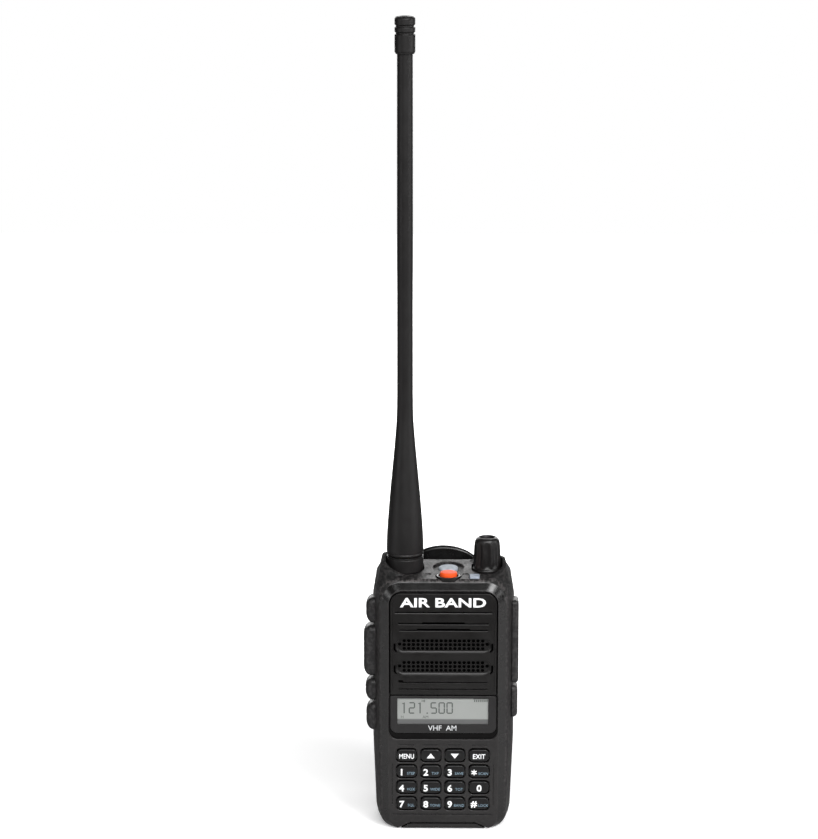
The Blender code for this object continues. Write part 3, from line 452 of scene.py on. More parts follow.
def lens_material(name, colour, roughness):
    """Frosted lens plastic over a pale reflector."""
    made, tree, shader, place = start_material(name)
    slow = noise(tree, place, 0.0016, 3.0)
    tint = between(tree, ramp(tree, slow, 0.3, 0.7), shade_of(colour, 0.82), shade_of(colour, 1.08))
    wire(tree, shader.inputs["Base Color"], tint)
    shader.inputs["Roughness"].default_value = roughness
    shader.inputs["Specular IOR Level"].default_value = 0.25
    return made


def display_material():
    """The reflective display: pale grey-green, darker at the foot of the glass, with a slow drift in tone."""
    made, tree, shader, place = start_material("display_glass")
    axes = put(tree, "ShaderNodeSeparateXYZ", Vector=place)
    foot = ramp(tree, axes.outputs["Z"], 0.0471, 0.0477)
    body = between(tree, foot, (0.085, 0.086, 0.086, 1), (0.250, 0.260, 0.250, 1))
    slow = noise(tree, place, 0.012, 2.0)
    drift = put(tree, "ShaderNodeMix", {"data_type": "RGBA", "blend_type": "MULTIPLY"})
    for socket in drift.inputs:
        if socket.type == "RGBA" and socket.name == "A":
            wire(tree, socket, body)
        elif socket.type == "RGBA":
            wire(tree, socket, between(tree, slow, (0.93, 0.93, 0.93, 1), (1.06, 1.06, 1.06, 1)))
    drift.inputs["Factor"].default_value = 1.0
    wire(tree, shader.inputs["Base Color"], next(s for s in drift.outputs if s.type == "RGBA"))
    shader.inputs["Roughness"].default_value = 0.28
    shader.inputs["Coat Weight"].default_value = 0.35
    shader.inputs["Coat Roughness"].default_value = 0.12
    return made


LOOK = {
    "case": moulded("case_plastic", (0.0114, 0.0103, 0.0103), 0.48, 0.39, leather=True),
    "panel": moulded("panel_plastic", (0.0075, 0.0070, 0.0068), 0.34, 0.30, grain=0.008),
    "window": moulded("window_black", (0.0150, 0.0142, 0.0144), 0.40, 0.28, grain=0.004),
    "key": moulded("key_rubber", (0.0045, 0.0042, 0.0044), 0.36, 0.28, grain=0.005),
    "side": moulded("side_rubber", (0.0160, 0.0152, 0.0154), 0.50, 0.32, grain=0.02, grain_size=0.0005, speckle=0.4),
    "antenna": moulded("antenna_rubber", (0.0090, 0.0083, 0.0084), 0.46, 0.25, grain=0.006, grain_size=0.0006),
    "knob": moulded("knob_plastic", (0.0055, 0.0048, 0.0048), 0.40, 0.36, grain=0.002),
    "clip": moulded("clip_plastic", (0.0035, 0.0033, 0.0033), 0.30, 0.35, grain=0.004),
    "orange": moulded("alarm_orange", (0.80, 0.085, 0.014), 0.60, 0.2, grain=0.003, mottle=0.05),
    "silicone": moulded("silicone_grey", (0.17, 0.17, 0.17), 0.7, 0.3),
    "board": moulded("board_green", (0.02, 0.13, 0.055), 0.45, 0.5, grain=0.01),
    "cell": moulded("cell_blue", (0.04, 0.10, 0.28), 0.35, 0.5, grain=0.003),
    # Near-black, for the painted shade in the recess under the window.
    "recess_shade": moulded("recess_shade_black", (0.0040, 0.0037, 0.0037), 0.85, 0.08, grain=0.02),
    # Near-black: a dust mesh, also used as painted shade in the grille's gap and the battery seam.
    "dark": moulded("dust_mesh_and_shade", (0.0010, 0.0010, 0.0010), 0.95, 0.0, grain=0.05, grain_size=0.0003),
    "steel": metal("plated_steel", (0.56, 0.56, 0.57), 0.30, "X"),
    "cast": metal("cast_metal", (0.40, 0.40, 0.41), 0.48, None, 0.02),
    "brass": metal("machined_brass", (0.74, 0.54, 0.22), 0.26, "Z"),
    "white": printed("white_ink", (0.93, 0.94, 0.95)),
    "blue": printed("blue_ink", (0.19, 0.27, 0.33)),
    "grey_ink": printed("grey_ink", (0.52, 0.53, 0.54)),
    "segment": printed("display_segment", (0.075, 0.082, 0.078), 0.5),
    "torch": lens_material("torch_lens", (0.36, 0.39, 0.43), 0.7),
    "led": lens_material("led_lens", (0.30, 0.34, 0.40), 0.6),
    "lcd": display_material(),
}


def piece(name, work, look, body, stands_for=()):
    return make(name, work, LOOK[look], body, stands_for)


# ---- the case ----


def case_loop(y, half_top, half_mid, half_low, top, bottom, corner_top, corner_low, steps=12):
    """The case's outline at depth y: sides taper below the waist and above the shoulder, with round corners."""
    shoulder = min(SHOULDER_Z, top - corner_top - 0.1)
    right = []
    for step in range(steps + 1):
        angle = math.radians(-90 + 90 * step / steps)
        right.append((half_low - corner_low + corner_low * math.cos(angle),
                      bottom + corner_low + corner_low * math.sin(angle)))
    right += [(half_mid, WAIST_Z), (half_mid, shoulder)]
    for step in range(steps + 1):
        angle = math.radians(90 * step / steps)
        right.append((half_top - corner_top + corner_top * math.cos(angle),
                      top - corner_top + corner_top * math.sin(angle)))
    return [(x, y, z) for x, z in right] + [(-x, y, z) for x, z in reversed(right)]


CASE_STATIONS = (
    (FRONT_Y, 22.3, PANEL_HALF, 22.2, PANEL_TOP, 0.3, 5.5, 4.6),
    (RIDGE_Y, 25.3, RIDGE_HALF, 25.6, TOP_FRONT_Z - 0.5, 0.0, 7.0, 6.3),
    (-13.7, 25.9, 26.8, 26.1, top_z(-13.7), 0.0, 6.2, 6.3),
    (-7.0, 27.5, 28.4, 27.3, top_z(-7.0), 0.0, 4.2, 6.3),
    (0.0, 28.0, HALF_WIDTH, 28.0, top_z(0.0), 0.0, 3.2, 6.3),
    (5.0, 27.9, HALF_WIDTH, 28.0, top_z(5.0), 0.0, 3.2, 6.3),
    (10.0, 27.1, 28.5, 27.4, top_z(10.0), 0.0, 3.6, 6.3),
    (TOP_REAR_Y, 24.8, 26.6, 25.6, 105.8, 0.0, 4.6, 6.3),
)


def collar(side, peak_z):
    """The raised collar round a top control, cut along its slanting rim."""
    lower = rounded(side * 17.6, 0.0, 9.7, 12.4, 5.0, 12)
    upper = rounded(side * 17.9, 1.5, 7.5, 7.0, 5.0, 12)
    solid = make("collar", loft([[(u, v, 103.6) for u, v in lower], [(u, v, peak_z) for u, v in upper]]))
    corners = []
    for u, v in ((4.0, -14.0), (30.0, -14.0), (30.0, 14.0), (4.0, 14.0)):
        drop = 0.266 * (25.0 - u) + 0.264 * (3.0 - v)
        corners.append((side * u, v, peak_z - drop))
    cut(solid, loft([corners, [(x, y, peak_z + 20) for x, y, _ in corners]]))
    work = bmesh.new()
    work.from_mesh(solid.data)
    bmesh.ops.scale(work, verts=work.verts, vec=(1 / MM,) * 3)
    bpy.data.objects.remove(solid)
    return work


def front_case():
    stations = filleted(CASE_STATIONS, 0.45, 4)
    case = make("case_shell", loft([case_loop(*station) for station in stations]), LOOK["case"])
    join(case, collar(-1, 112.4))
    join(case, collar(1, 110.9))
    pockets = bmesh.new()
    for x, y, half_x, half_y in ((ANTENNA.x, 0.9, 8.0, 9.5), (KNOB.x, 0.5, 6.5, 8.1)):
        outline = rounded(x, y, half_x, half_y, half_x - 0.1, 12)
        loft([[(u, v, z) for u, v in outline] for z in (POCKET_Z, 118.0)], pockets)
    cut(case, pockets)
    bevelled(case, 0.32, 3, 42)
    hollow_case(case)
    cut_front(case)
    cut_sides(case)
    cut_top(case)
    cut_base(case)
    shaded(case, 30)
    settle(case, "case", ("front_case",))


def hollow_case(case):
    inside = [
        case_loop(FRONT_Y + 2.2, 21.0, 21.2, 20.8, 100.2, FLOOR_INSIDE_Z, 3.5, 3.0, 4),
        case_loop(-12.0, 23.8, 24.4, 23.8, CEILING_Z, FLOOR_INSIDE_Z, 4.0, 3.0, 4),
        case_loop(-7.0, 25.1, 26.1, 25.1, CEILING_Z, FLOOR_INSIDE_Z, 3.0, 3.0, 4),
        case_loop(0.0, 25.5, HALF_WIDTH - 2, 25.8, CEILING_Z, FLOOR_INSIDE_Z, 3.0, 3.0, 4),
        case_loop(4.6, 25.5, HALF_WIDTH - 2, 25.8, CEILING_Z, FLOOR_INSIDE_Z, 3.0, 3.0, 4),
    ]
    cut(case, loft(inside))
    bay = rounded(17.0, 40.0, 13.2, BAY_TOP - 40.0, 0.5, 3)
    cut(case, loft([[(x, u, v) for u, v in bay] for x in (-40, 40)]))


def cut_front(case):
    depth = FRONT_Y + INSERT_DEPTH
    cut(case, flared("Y", lambda grow: panel_outline(45.0, PANEL_TOP - 0.15, PANEL_HALF - 0.15, 0.6, 5.5, grow), FRONT_Y,
                     FRONT_Y + 0.3, 0.12))
    low, high, half = GRILLE_LOW.z - 0.3, PANEL_TOP_EDGE + 0.35, GRILLE_HIGH.x + 0.42
    outline = panel_outline(low, high, half, 0.6, 4.8)
    cut(case, loft([[(u, y, v) for u, v in outline] for y in (FRONT_Y - 2, depth)]))
    low, high, half = WINDOW_LOW.z - 0.2, WINDOW_HIGH.z + 0.15, WINDOW_HIGH.x + 0.42
    cut(case, flared("Y", lambda grow: panel_outline(RECESS_LOW, high - 0.7, half + 0.11, 3.7, 0.6, grow), FRONT_Y,
                     FRONT_Y + 0.75, 0.43))
    outline = panel_outline(low, high, half, 3.3, 0.5)
    cut(case, loft([[(u, y, v) for u, v in outline] for y in (FRONT_Y - 2, depth)]))
    through = bmesh.new()
    for outline in (rounded(0, 51.0, 20.0, 6.4, 0.6, 3), circle(0, 79.0, 16.0, 48), circle(-18.6, 63.9, 0.9, 16)):
        loft([[(u, y, v) for u, v in outline] for y in (-16.5, -12.5)], through)
    cut(case, through)
    holes = bmesh.new()
    for name in KEY_CAPTIONS:
        place = middle(f"key_{name}")
        flared("Y", lambda grow: rounded(place.x, place.z, 4.42 + grow, 3.07 + grow, 2.0 + grow, 8),
               FRONT_Y, FRONT_Y + 4, 0.3, holes)
    cut(case, holes)
    marks = bmesh.new()
    for x in KEY_COLUMNS:
        flared("Y", lambda grow: rounded(x, 36.4, 3.1 + grow, 0.2 + grow, 0.2, 4), FRONT_Y, FRONT_Y + 0.35, 0.12, marks)
    for x in (-21.0, 20.8):
        flared("Y", lambda grow: rounded(x, 19.4, 0.16 + grow, 9.1 + grow, 0.16, 4), FRONT_Y, FRONT_Y + 0.4, 0.12, marks)
    flared("Y", lambda grow: rounded(-0.3, 6.3, 20.6 + grow, 0.22 + grow, 0.2, 4), FRONT_Y, FRONT_Y + 0.4, 0.14, marks)
    cut(case, marks)


def cut_sides(case):
    holes = bmesh.new()
    for name in SIDE_NODES:
        low, high = span(name)
        loft([[(x, u, v) for u, v in rounded((low.y + high.y) / 2, (low.z + high.z) / 2, (high.y - low.y) / 2 + 0.3,
                                             (high.z - low.z) / 2 + 0.3, 2.6, 8)] for x in (-35, -22)], holes)
    loft([[(x, u, v) for u, v in rounded(-3.7, 83.2, 3.6, 11.7, 0.8, 4)] for x in (22, 35)], holes)
    for node in ("jack_cover", "jack_cover_anchor"):
        low, high = span(node)
        outline = rounded((low.y + high.y) / 2, (low.z + high.z) / 2, (high.y - low.y) / 2 + 0.12,
                          (high.z - low.z) / 2 + 0.12, 1.8, 8)
        loft([[(x, u, v) for u, v in outline] for x in (28.1, 36)], holes)
    cut(case, holes)


def top_cutter(outline, depth, lip, work):
    """A flared cutter into the sloping top; depth is below the surface and outline(grow) is in X and Y."""
    profile = [(lip, 8.0), (lip, 0.01)]
    for step in range(1, 5):
        angle = math.radians(90 * step / 4)
        profile.append((lip * (1 - math.sin(angle)), -lip * (1 - math.cos(angle))))
    profile.append((0.0, -depth))
    return loft([[(u, v, top_z(v) + rise) for u, v in outline(grow)] for grow, rise in profile], work)


def cut_top(case):
    cut(case, top_cutter(lambda grow: circle(TORCH.x, TORCH.y, 6.4 + grow), 0.9, 0.25, None))
    cut(case, loft([[(*point, z) for point in circle(ALARM.x, ALARM.y, 5.4)] for z in (105.3, 112.0)]))
    wells = bmesh.new()
    for x, y, radius, floor in ((TORCH.x, TORCH.y, 4.25, 105.2), (ALARM.x, ALARM.y, 2.3, 100.0),
                                (ANTENNA.x, ANTENNA.y, 3.5, 100.0), (KNOB.x, KNOB.y, 3.9, 100.0)):
        loft([[(u, v, z) for u, v in circle(x, y, radius, 40)] for z in (floor, 112.0)], wells)
    cut(case, wells)
    led = (LED_LOW + LED_HIGH) / 2
    half = (LED_HIGH - LED_LOW) / 2
    well = top_cutter(lambda grow: rounded(led.x, led.y, half.x + 0.2 + grow, half.y + 0.2 + grow, 0.8 + grow, 6),
                      1.9, 0.15, None)
    cut(case, well)
    # Two small symbols, sunk into the top beside the alarm button, as two small rounded pads.
    symbols = bmesh.new()
    for x in (ALARM.x - 8.4, ALARM.x + 7.0):
        top_cutter(lambda grow: rounded(x, ALARM.y + 1.6, 1.25 + grow, 1.5 + grow, 0.7, 5), 0.22, 0.1, symbols)
    cut(case, symbols)


def latch_outline(low, high, grow):
    """The base latch's trapezoid between two heights, widened by grow."""
    node_low, node_high = span("battery_latch")
    slope = (node_high.x - 13.5) / (2.2 - node_low.z)
    half_low = node_high.x + grow - slope * (low - node_low.z)
    half_high = node_high.x + grow - slope * (high - node_low.z)
    return ((-half_low, low), (half_low, low), (half_high, high), (-half_high, high))


def cut_base(case):
    recess = latch_outline(-1.0, 2.9, 1.4)
    cut(case, loft([[(u, y, v) for u, v in recess] for y in (FRONT_Y - 1, -11.6)]))
    low, high = span("battery_latch_pin")
    pivot = (low + high) / 2
    well = loft([[(u, v, z) for u, v in rounded(0, pivot.y, 15.6, 1.7, 0.3, 3)] for z in (-1, 4.2)])
    for side in (-1, 1):
        outline = rounded(side * 10.7, -3.8, 3.3, 8.6, 0.3, 3)
        loft([[(u, v, z) for u, v in outline] for z in (-1, 2.8)], well)
    cut(case, well)


# ---- front inserts ----


def sloped_slot(z, reach, rise, fall, lip, depth, corner, work):
    """A sunk slot whose lower wall slopes out to the face over the height lip, so that it catches the light."""
    loops = []
    for y, spread in ((FRONT_Y - 1, 1.0), (FRONT_Y, 1.0), (FRONT_Y + 0.42 * lip, 0.05), (FRONT_Y + depth, 0.0)):
        low = z - fall - lip * spread
        high = z + rise + 0.12 * spread
        side = reach + min(lip * 0.7, 0.5) * spread
        outline = rounded(0, (low + high) / 2, side, (high - low) / 2, corner + lip * spread * 0.6, 8)
        loops.append([(u, y, v) for u, v in outline])
    return loft(loops, work)


def grille_panel():
    work = plate("Y", lambda grow: panel_outline(GRILLE_LOW.z + 0.1, PANEL_TOP_EDGE, GRILLE_HIGH.x - 0.14, 0.4, 4.4, grow),
                 GRILLE_HIGH.y, FRONT_Y, 0.28, 4)
    panel = make("grille_insert", work, LOOK["panel"])
    grooves = bmesh.new()
    for z, reach, rise, lip in ((92.95, 19.9, 0.36, 0.60), (88.15, 18.6, 0.3, 0.34), (85.4, 18.2, 0.3, 0.34),
                                (63.25, 18.2, 0.30, 0.12), (60.35, 18.2, 0.30, 0.12)):
        sloped_slot(z, reach, rise, 0.22, lip, 1.15, 0.22, grooves)
    cut(panel, grooves)
    bands = bmesh.new()
    for z in BAND_HEIGHTS:
        sloped_slot(z, 18.9, 2.6, 2.7, 1.3, 0.75, 2.2, bands)
    cut(panel, bands)
    deep = bmesh.new()
    for z, reach in ((88.15, 8.7), (85.4, 10.9)):
        loft([[(u, y, v) for u, v in rounded(0, z + 0.33, reach, 0.46, 0.2, 4)] for y in (FRONT_Y - 1, FRONT_Y + 3)],
             deep)
    loft([[(u, y, v) for u, v in rounded(-17.5, 63.75, 1.0, 0.5, 0.4, 4)] for y in (FRONT_Y - 1, FRONT_Y + 3)], deep)
    # Short curved notches at the lower ends of each band.
    for z in BAND_HEIGHTS:
        for side in (-1, 1):
            corners = ((19.6, 1.0), (20.5, 1.0), (20.4, -1.9), (19.4, -2.9), (18.9, -2.5), (19.6, -1.5))
            outline = [(side * u, z - 0.4 + v) for u, v in corners][::side]
            loft([[(u, y, v) for u, v in outline] for y in (FRONT_Y - 1, FRONT_Y + 3)], deep)
    cut(panel, deep)
    seams = bmesh.new()
    for side in (-1, 1):
        flared("Y", lambda grow: rounded(side * (GRILLE_HIGH.x - 0.95), 78.5, 0.08 + grow, 19.4 + grow, 0.08, 3),
               FRONT_Y, FRONT_Y + 0.3, 0.08, seams)
    cut(panel, seams)
    for z in BAND_HEIGHTS:
        holes = bmesh.new()
        for row in (-1, 0, 1):
            for column in range(HOLE_COLUMNS):
                x = (column - (HOLE_COLUMNS - 1) / 2) * HOLE_PITCH
                sound_hole(x, z - 0.12 + row * HOLE_ROW_PITCH, holes)
        for side in (-1, 1):
            sound_hole(side * 17.95, z + 0.1, holes)
        cut(panel, holes)
    shaded(panel, 30)
    settle(panel, "case", ("speaker_grille_panel",))
    # A black dust mesh behind the grille; its black also serves as painted shade behind the holes and slots cut
    # through.
    cloth = plate("Y", lambda grow: rounded(0, 78.0, 20.6 + grow, 14.8 + grow, 3 + grow, 6), -15.67, -15.68, 0.005, 2)
    piece("speaker_dust_mesh", cloth, "dark", "case")
    # A dark strip in the gap round the grille: painted shade.
    low, high, half = GRILLE_LOW.z + 0.6, PANEL_TOP_EDGE, GRILLE_HIGH.x
    gap_shade_strip("grille_gap_shade", (low, high + 0.02, half - 0.12, 0.4, 4.4), (low, high + 0.32, half + 0.38, 0.4, 4.8), 1.25, "dark")
    # A dark strip over the floor of the recess under the window: painted shade in the recess.
    low, high, half = WINDOW_LOW.z, WINDOW_HIGH.z, WINDOW_HIGH.x
    gap_shade_strip("window_recess_shade", (low - 0.02, high, half - 0.08, 3.0, 0.4), (RECESS_LOW + 0.04, high, half + 0.38, 3.55, 0.4), 0.74, "recess_shade")


def gap_shade_strip(name, inner, outer, back, look):
    """A dark strip down in the gap round a front insert, between two panel outlines: painted shade in the gap."""
    loops = [[(u, y, v) for u, v in panel_outline(*outline)]
             for outline, y in ((inner, FRONT_Y + back), (inner, GAP_SHADE_Y), (outer, GAP_SHADE_Y), (outer, FRONT_Y + back))]
    piece(name, ring_of(loops), look, "case")


GAP_SHADE_Y = FRONT_Y + 0.42


def sound_hole(x, z, work):
    loft([[(u, y, v) for u, v in rounded(x, z, 0.67, 0.66, 0.4, 3)] for y in (FRONT_Y - 1, FRONT_Y + 3)], work)


BAND_HEIGHTS = (79.3, 70.0)
HOLE_COLUMNS, HOLE_PITCH, HOLE_ROW_PITCH = 18, 1.89, 1.64


def display():
    loops = []
    for y, grow in ((WINDOW_HIGH.y, 0.0), (FRONT_Y + 0.3, 0.0), (FRONT_Y + 0.08, -0.08), (FRONT_Y, -0.3)):
        outline = panel_outline(WINDOW_LOW.z, WINDOW_HIGH.z, WINDOW_HIGH.x - 0.1, 3.0, 0.8, grow)
        loops.append([(u, y, v) for u, v in outline])
    surround = make("window_surround", loft(loops), LOOK["window"])
    cut(surround, flared("Y", lambda grow: rounded(-0.2, 50.85, 18.7 + grow, 5.55 + grow, 0.25 + grow, 4), FRONT_Y,
                         FRONT_Y + 3, 0.1))
    shaded(surround, 30)
    settle(surround, "case", ("display_window",))
    low, high = span("lcd_module")
    glass = plate("Y", lambda grow: rounded(0, 51.0, high.x + grow, (high.z - low.z) / 2 + grow, 0.4, 3),
                  high.y, low.y, 0.05, 2)
    piece("lcd_screen", glass, "lcd", "case", ("lcd_module",))
    front = plate("Y", lambda grow: rounded(-0.2, 50.85, 19.4 + grow, 6.1 + grow, 0.3, 3), -15.0, LCD_FACE_Y, 0.05, 2)
    piece("lcd_front_glass", front, "lcd", "case")
    display_marks()


LCD_FACE_Y = -16.4
SEGMENTS = {
    "0": "abcdef", "1": "bc", "2": "abged", "3": "abgcd", "4": "fgbc",
    "5": "afgcd", "6": "afgedc", "7": "abc", "8": "abcdefg", "9": "abcdfg",
}
DIGIT_WIDE, DIGIT_TALL, STROKE = 2.15, 4.45, 0.52
DIGIT_PITCH, DIGIT_FOOT_Z = 3.28, 49.95


def slab(outline, work, y=LCD_FACE_Y):
    return loft([[(u, depth, v) for u, v in outline] for depth in (y, y - 0.03)], work)


def segment(letter, x, z, work):
    """One bar of a seven-bar digit whose lower left corner is at (x, z)."""
    half = DIGIT_TALL / 2
    across = {"a": DIGIT_TALL, "g": half, "d": 0.0}
    gap = 0.06
    if letter in across:
        outline = rounded(x + DIGIT_WIDE / 2, z + across[letter], DIGIT_WIDE / 2 - gap, STROKE / 2, STROKE / 2, 3)
    else:
        right = letter in "bc"
        centre_z = z + (half * 1.5 if letter in "bf" else half * 0.5)
        outline = rounded(x + (DIGIT_WIDE if right else 0.0), centre_z, STROKE / 2, half / 2 - gap, STROKE / 2, 3)
    slab(outline, work)


def display_marks():
    """The frequency in seven-bar digits, a battery gauge and two short labels."""
    digits = bmesh.new()
    x = -16.2
    for character in "121.500":
        if character == ".":
            slab(rounded(x - 0.25, DIGIT_FOOT_Z, 0.3, 0.3, 0.2, 3), digits)
            x += DIGIT_PITCH - 0.85
            continue
        if character == "1":
            slab(rounded(x + 0.1, DIGIT_FOOT_Z + DIGIT_TALL / 2, STROKE / 2, DIGIT_TALL / 2 + 0.15, STROKE / 2, 3), digits)
            slab(rounded(x - 0.4, DIGIT_FOOT_Z + DIGIT_TALL - 0.35, 0.32, 0.18, 0.15, 3), digits)
        else:
            for letter in SEGMENTS[character]:
                segment(letter, x - DIGIT_WIDE / 2, DIGIT_FOOT_Z, digits)
        x += DIGIT_PITCH
    piece("lcd_digits", digits, "segment", "case")
    icons = bmesh.new()
    for x in range(7):
        slab(rounded(12.9 + x * 0.85, 55.3, 0.24, 0.5, 0.1, 2), icons)
    slab(rounded(15.4, 56.1, 3.1, 0.12, 0.1, 2), icons)
    for bar in range(3):
        slab(rounded(-8.8 + bar * 0.55, 55.2, 0.16, 0.2 + 0.16 * bar, 0.05, 2), icons)
    piece("lcd_icons", icons, "segment", "case")
    labels = [("H", 1.25, -16.9, 48.3), ("AM", 1.25, -7.3, 48.3)]
    lettering("lcd_labels", labels, LCD_FACE_Y, "segment", "case", thick=0.03)


# ---- lettering ----


def lettering(name, rows, y, look, body, thick=0.04, bolder=0.0, wide=1.0):
    """Print on the front, its face at depth y - thick / 2: rows of (text, cap height, centre x, centre z)."""
    work = bmesh.new()
    for text, size, x, z in rows:
        curve = bpy.data.curves.new(name, "FONT")
        curve.body = text
        curve.size = size / 0.72
        curve.align_x = "CENTER"
        curve.align_y = "CENTER"
        curve.extrude = thick / 2
        curve.offset = bolder * size / 100
        curve.resolution_u = 3
        holder = bpy.data.objects.new(name, curve)
        bpy.context.scene.collection.objects.link(holder)
        graph = bpy.context.evaluated_depsgraph_get()
        mesh = bpy.data.meshes.new_from_object(holder.evaluated_get(graph), depsgraph=graph)
        bpy.data.objects.remove(holder)
        tall = [vertex.co.y for vertex in mesh.vertices]
        centre = (min(tall) + max(tall)) / 2
        for vertex in mesh.vertices:
            u, v, w = vertex.co
            vertex.co = (x + u * wide, y - w, z + v - centre)
        work.from_mesh(mesh)
        bpy.data.meshes.remove(mesh)
    return piece(name, work, look, body)


# ---- keys ----

KEY_CAPTIONS = {
    "menu": ("MENU", ""), "up": ("", ""), "down": ("", ""), "exit": ("EXIT", ""),
    "1": ("1", "STEP"), "2": ("2", "TXP"), "3": ("3", "SAVE"), "star": ("", "SCAN"),
    "4": ("4", "VOX"), "5": ("5", "WIDE"), "6": ("6", "TOT"), "0": ("0", ""),
    "7": ("7", "SQL"), "8": ("8", "TONE"), "9": ("9", "BAND"), "hash": ("#", "LOCK"),
}
KEY_COLUMNS = sorted({round(middle(f"key_{name}").x, 2) for name in ("menu", "up", "down", "exit")})


def key_cap(name):
    low, high = span(f"key_{name}")
    centre = (low + high) / 2
    half_x, half_z = (high.x - low.x) / 2, (high.z - low.z) / 2
    face = low.y + 0.06
    steps = 7
    profile = [(0.0, high.y), (0.0, face + 0.85)]
    for step in range(1, steps + 1):
        angle = math.radians(90 * step / steps)
        profile.append((0.55 * (math.cos(angle) - 1), face + 0.08 + 0.5 * (1 - math.sin(angle))))
    profile += [(-1.1, face + 0.03), (-1.7, face)]
    loops = []
    for grow, depth in profile:
        outline = rounded(centre.x, centre.z, half_x + grow, half_z + grow, 1.6 + grow * 0.6, 8)
        loops.append([(u, depth, v) for u, v in outline])
    cap = piece(f"keycap_{name}", loft(loops), "key", f"key_{name}", (f"key_{name}",))
    shaded(cap, 40)
    print_key(name, centre, low.y + 0.075)


def print_key(name, centre, y):
    """The key's caption, a slab that starts behind the cap's domed face and ends just in front of it."""
    body = f"key_{name}"
    caption, legend = KEY_CAPTIONS[name]
    if name in ("up", "down"):
        point = 1 if name == "up" else -1
        foot, tip = centre.z - 0.1 - point, centre.z - 0.1 + point * 1.1
        corners = [(centre.x - 1.65, foot), (centre.x + 1.65, foot), (centre.x, tip)]
        arrow = loft([[(u, depth, v) for u, v in corners] for depth in (y + 0.06, y - 0.06)])
        piece(f"print_{name}", arrow, "white", body)
    elif name == "star":
        star = bmesh.new()
        for turn in range(3):
            angle = math.radians(90 + 60 * turn)
            across, along = Vector((-math.sin(angle), math.cos(angle))), Vector((math.cos(angle), math.sin(angle)))
            centre_2d = Vector((centre.x - 2.0, centre.z - 0.3))
            corners = [centre_2d + along * u + across * v for u, v in ((-1.2, -0.2), (1.2, -0.2), (1.2, 0.2), (-1.2, 0.2))]
            depth = 0.06 + 0.004 * turn
            loft([[(u, d, v) for u, v in corners] for d in (y + depth, y - depth)], star)
        piece("print_star", star, "white", body)
        lettering("print_star_legend", [(legend, 1.15, centre.x + 1.8, centre.z - 0.75)], y, "blue", body, 0.12, 0.0)
    elif name == "0":
        lettering("print_0", [(caption, 2.75, centre.x + 0.1, centre.z - 0.25)], y, "white", body, 0.12, 3.6, 1.08)
    elif legend:
        lettering(f"print_{name}", [(caption, 2.75, centre.x - 2.05, centre.z - 0.3)], y, "white", body, 0.12, 3.6, 1.08)
        lettering(f"print_{name}_legend", [(legend, 1.15, centre.x + 1.8, centre.z - 0.75)], y, "blue", body, 0.12, 0.0)
    else:
        wide = 0.78 if name == "menu" else 0.88
        lettering(f"print_{name}", [(caption, 2.1, centre.x, centre.z - 0.3)], y, "white", body, 0.12, 1.0, wide)


# ---- left side controls ----

SIDE_NODES = ("ptt_button", "side_key_top", "side_key_upper", "side_key_lower")


def side_control(node, ribs):
    low, high = span(node)
    y, z = (low.y + high.y) / 2, (low.z + high.z) / 2
    half_y, half_z = (high.y - low.y) / 2, (high.z - low.z) / 2
    inner, outer = high.x, low.x
    taper = min(4.0, half_z - 0.8)
    profile = [(0.0, inner), (0.0, outer + 3.0)]
    for step in range(1, 13):
        angle = math.radians(90 * step / 12)
        profile.append((taper * (math.cos(angle) - 1), outer + 3.0 * (1 - math.sin(angle))))
    loops = []
    for grow, x in profile:
        outline = rounded(y, z, half_y + grow, half_z + grow, 2.4 + grow * 0.45, 8)
        loops.append([(x, u, v) for u, v in outline])
    control = make(f"{node}_cap", loft(loops), LOOK["side"])
    for offset in ribs:
        rib = rounded(y, z + offset, half_y - 2.6, 0.4, 0.38, 4)
        groove = rounded(y, z + offset, half_y - 2.2, 0.7, 0.65, 4)
        cut(control, loft([[(x, u, v) for u, v in groove] for x in (outer - 1, outer + 0.5)]))
        join(control, loft([[(x, u, v) for u, v in rib] for x in (outer + 0.8, outer + 0.08)]))
    shaded(control, 35)
    settle(control, node, (node,))


# ---- right side: jack cover ----


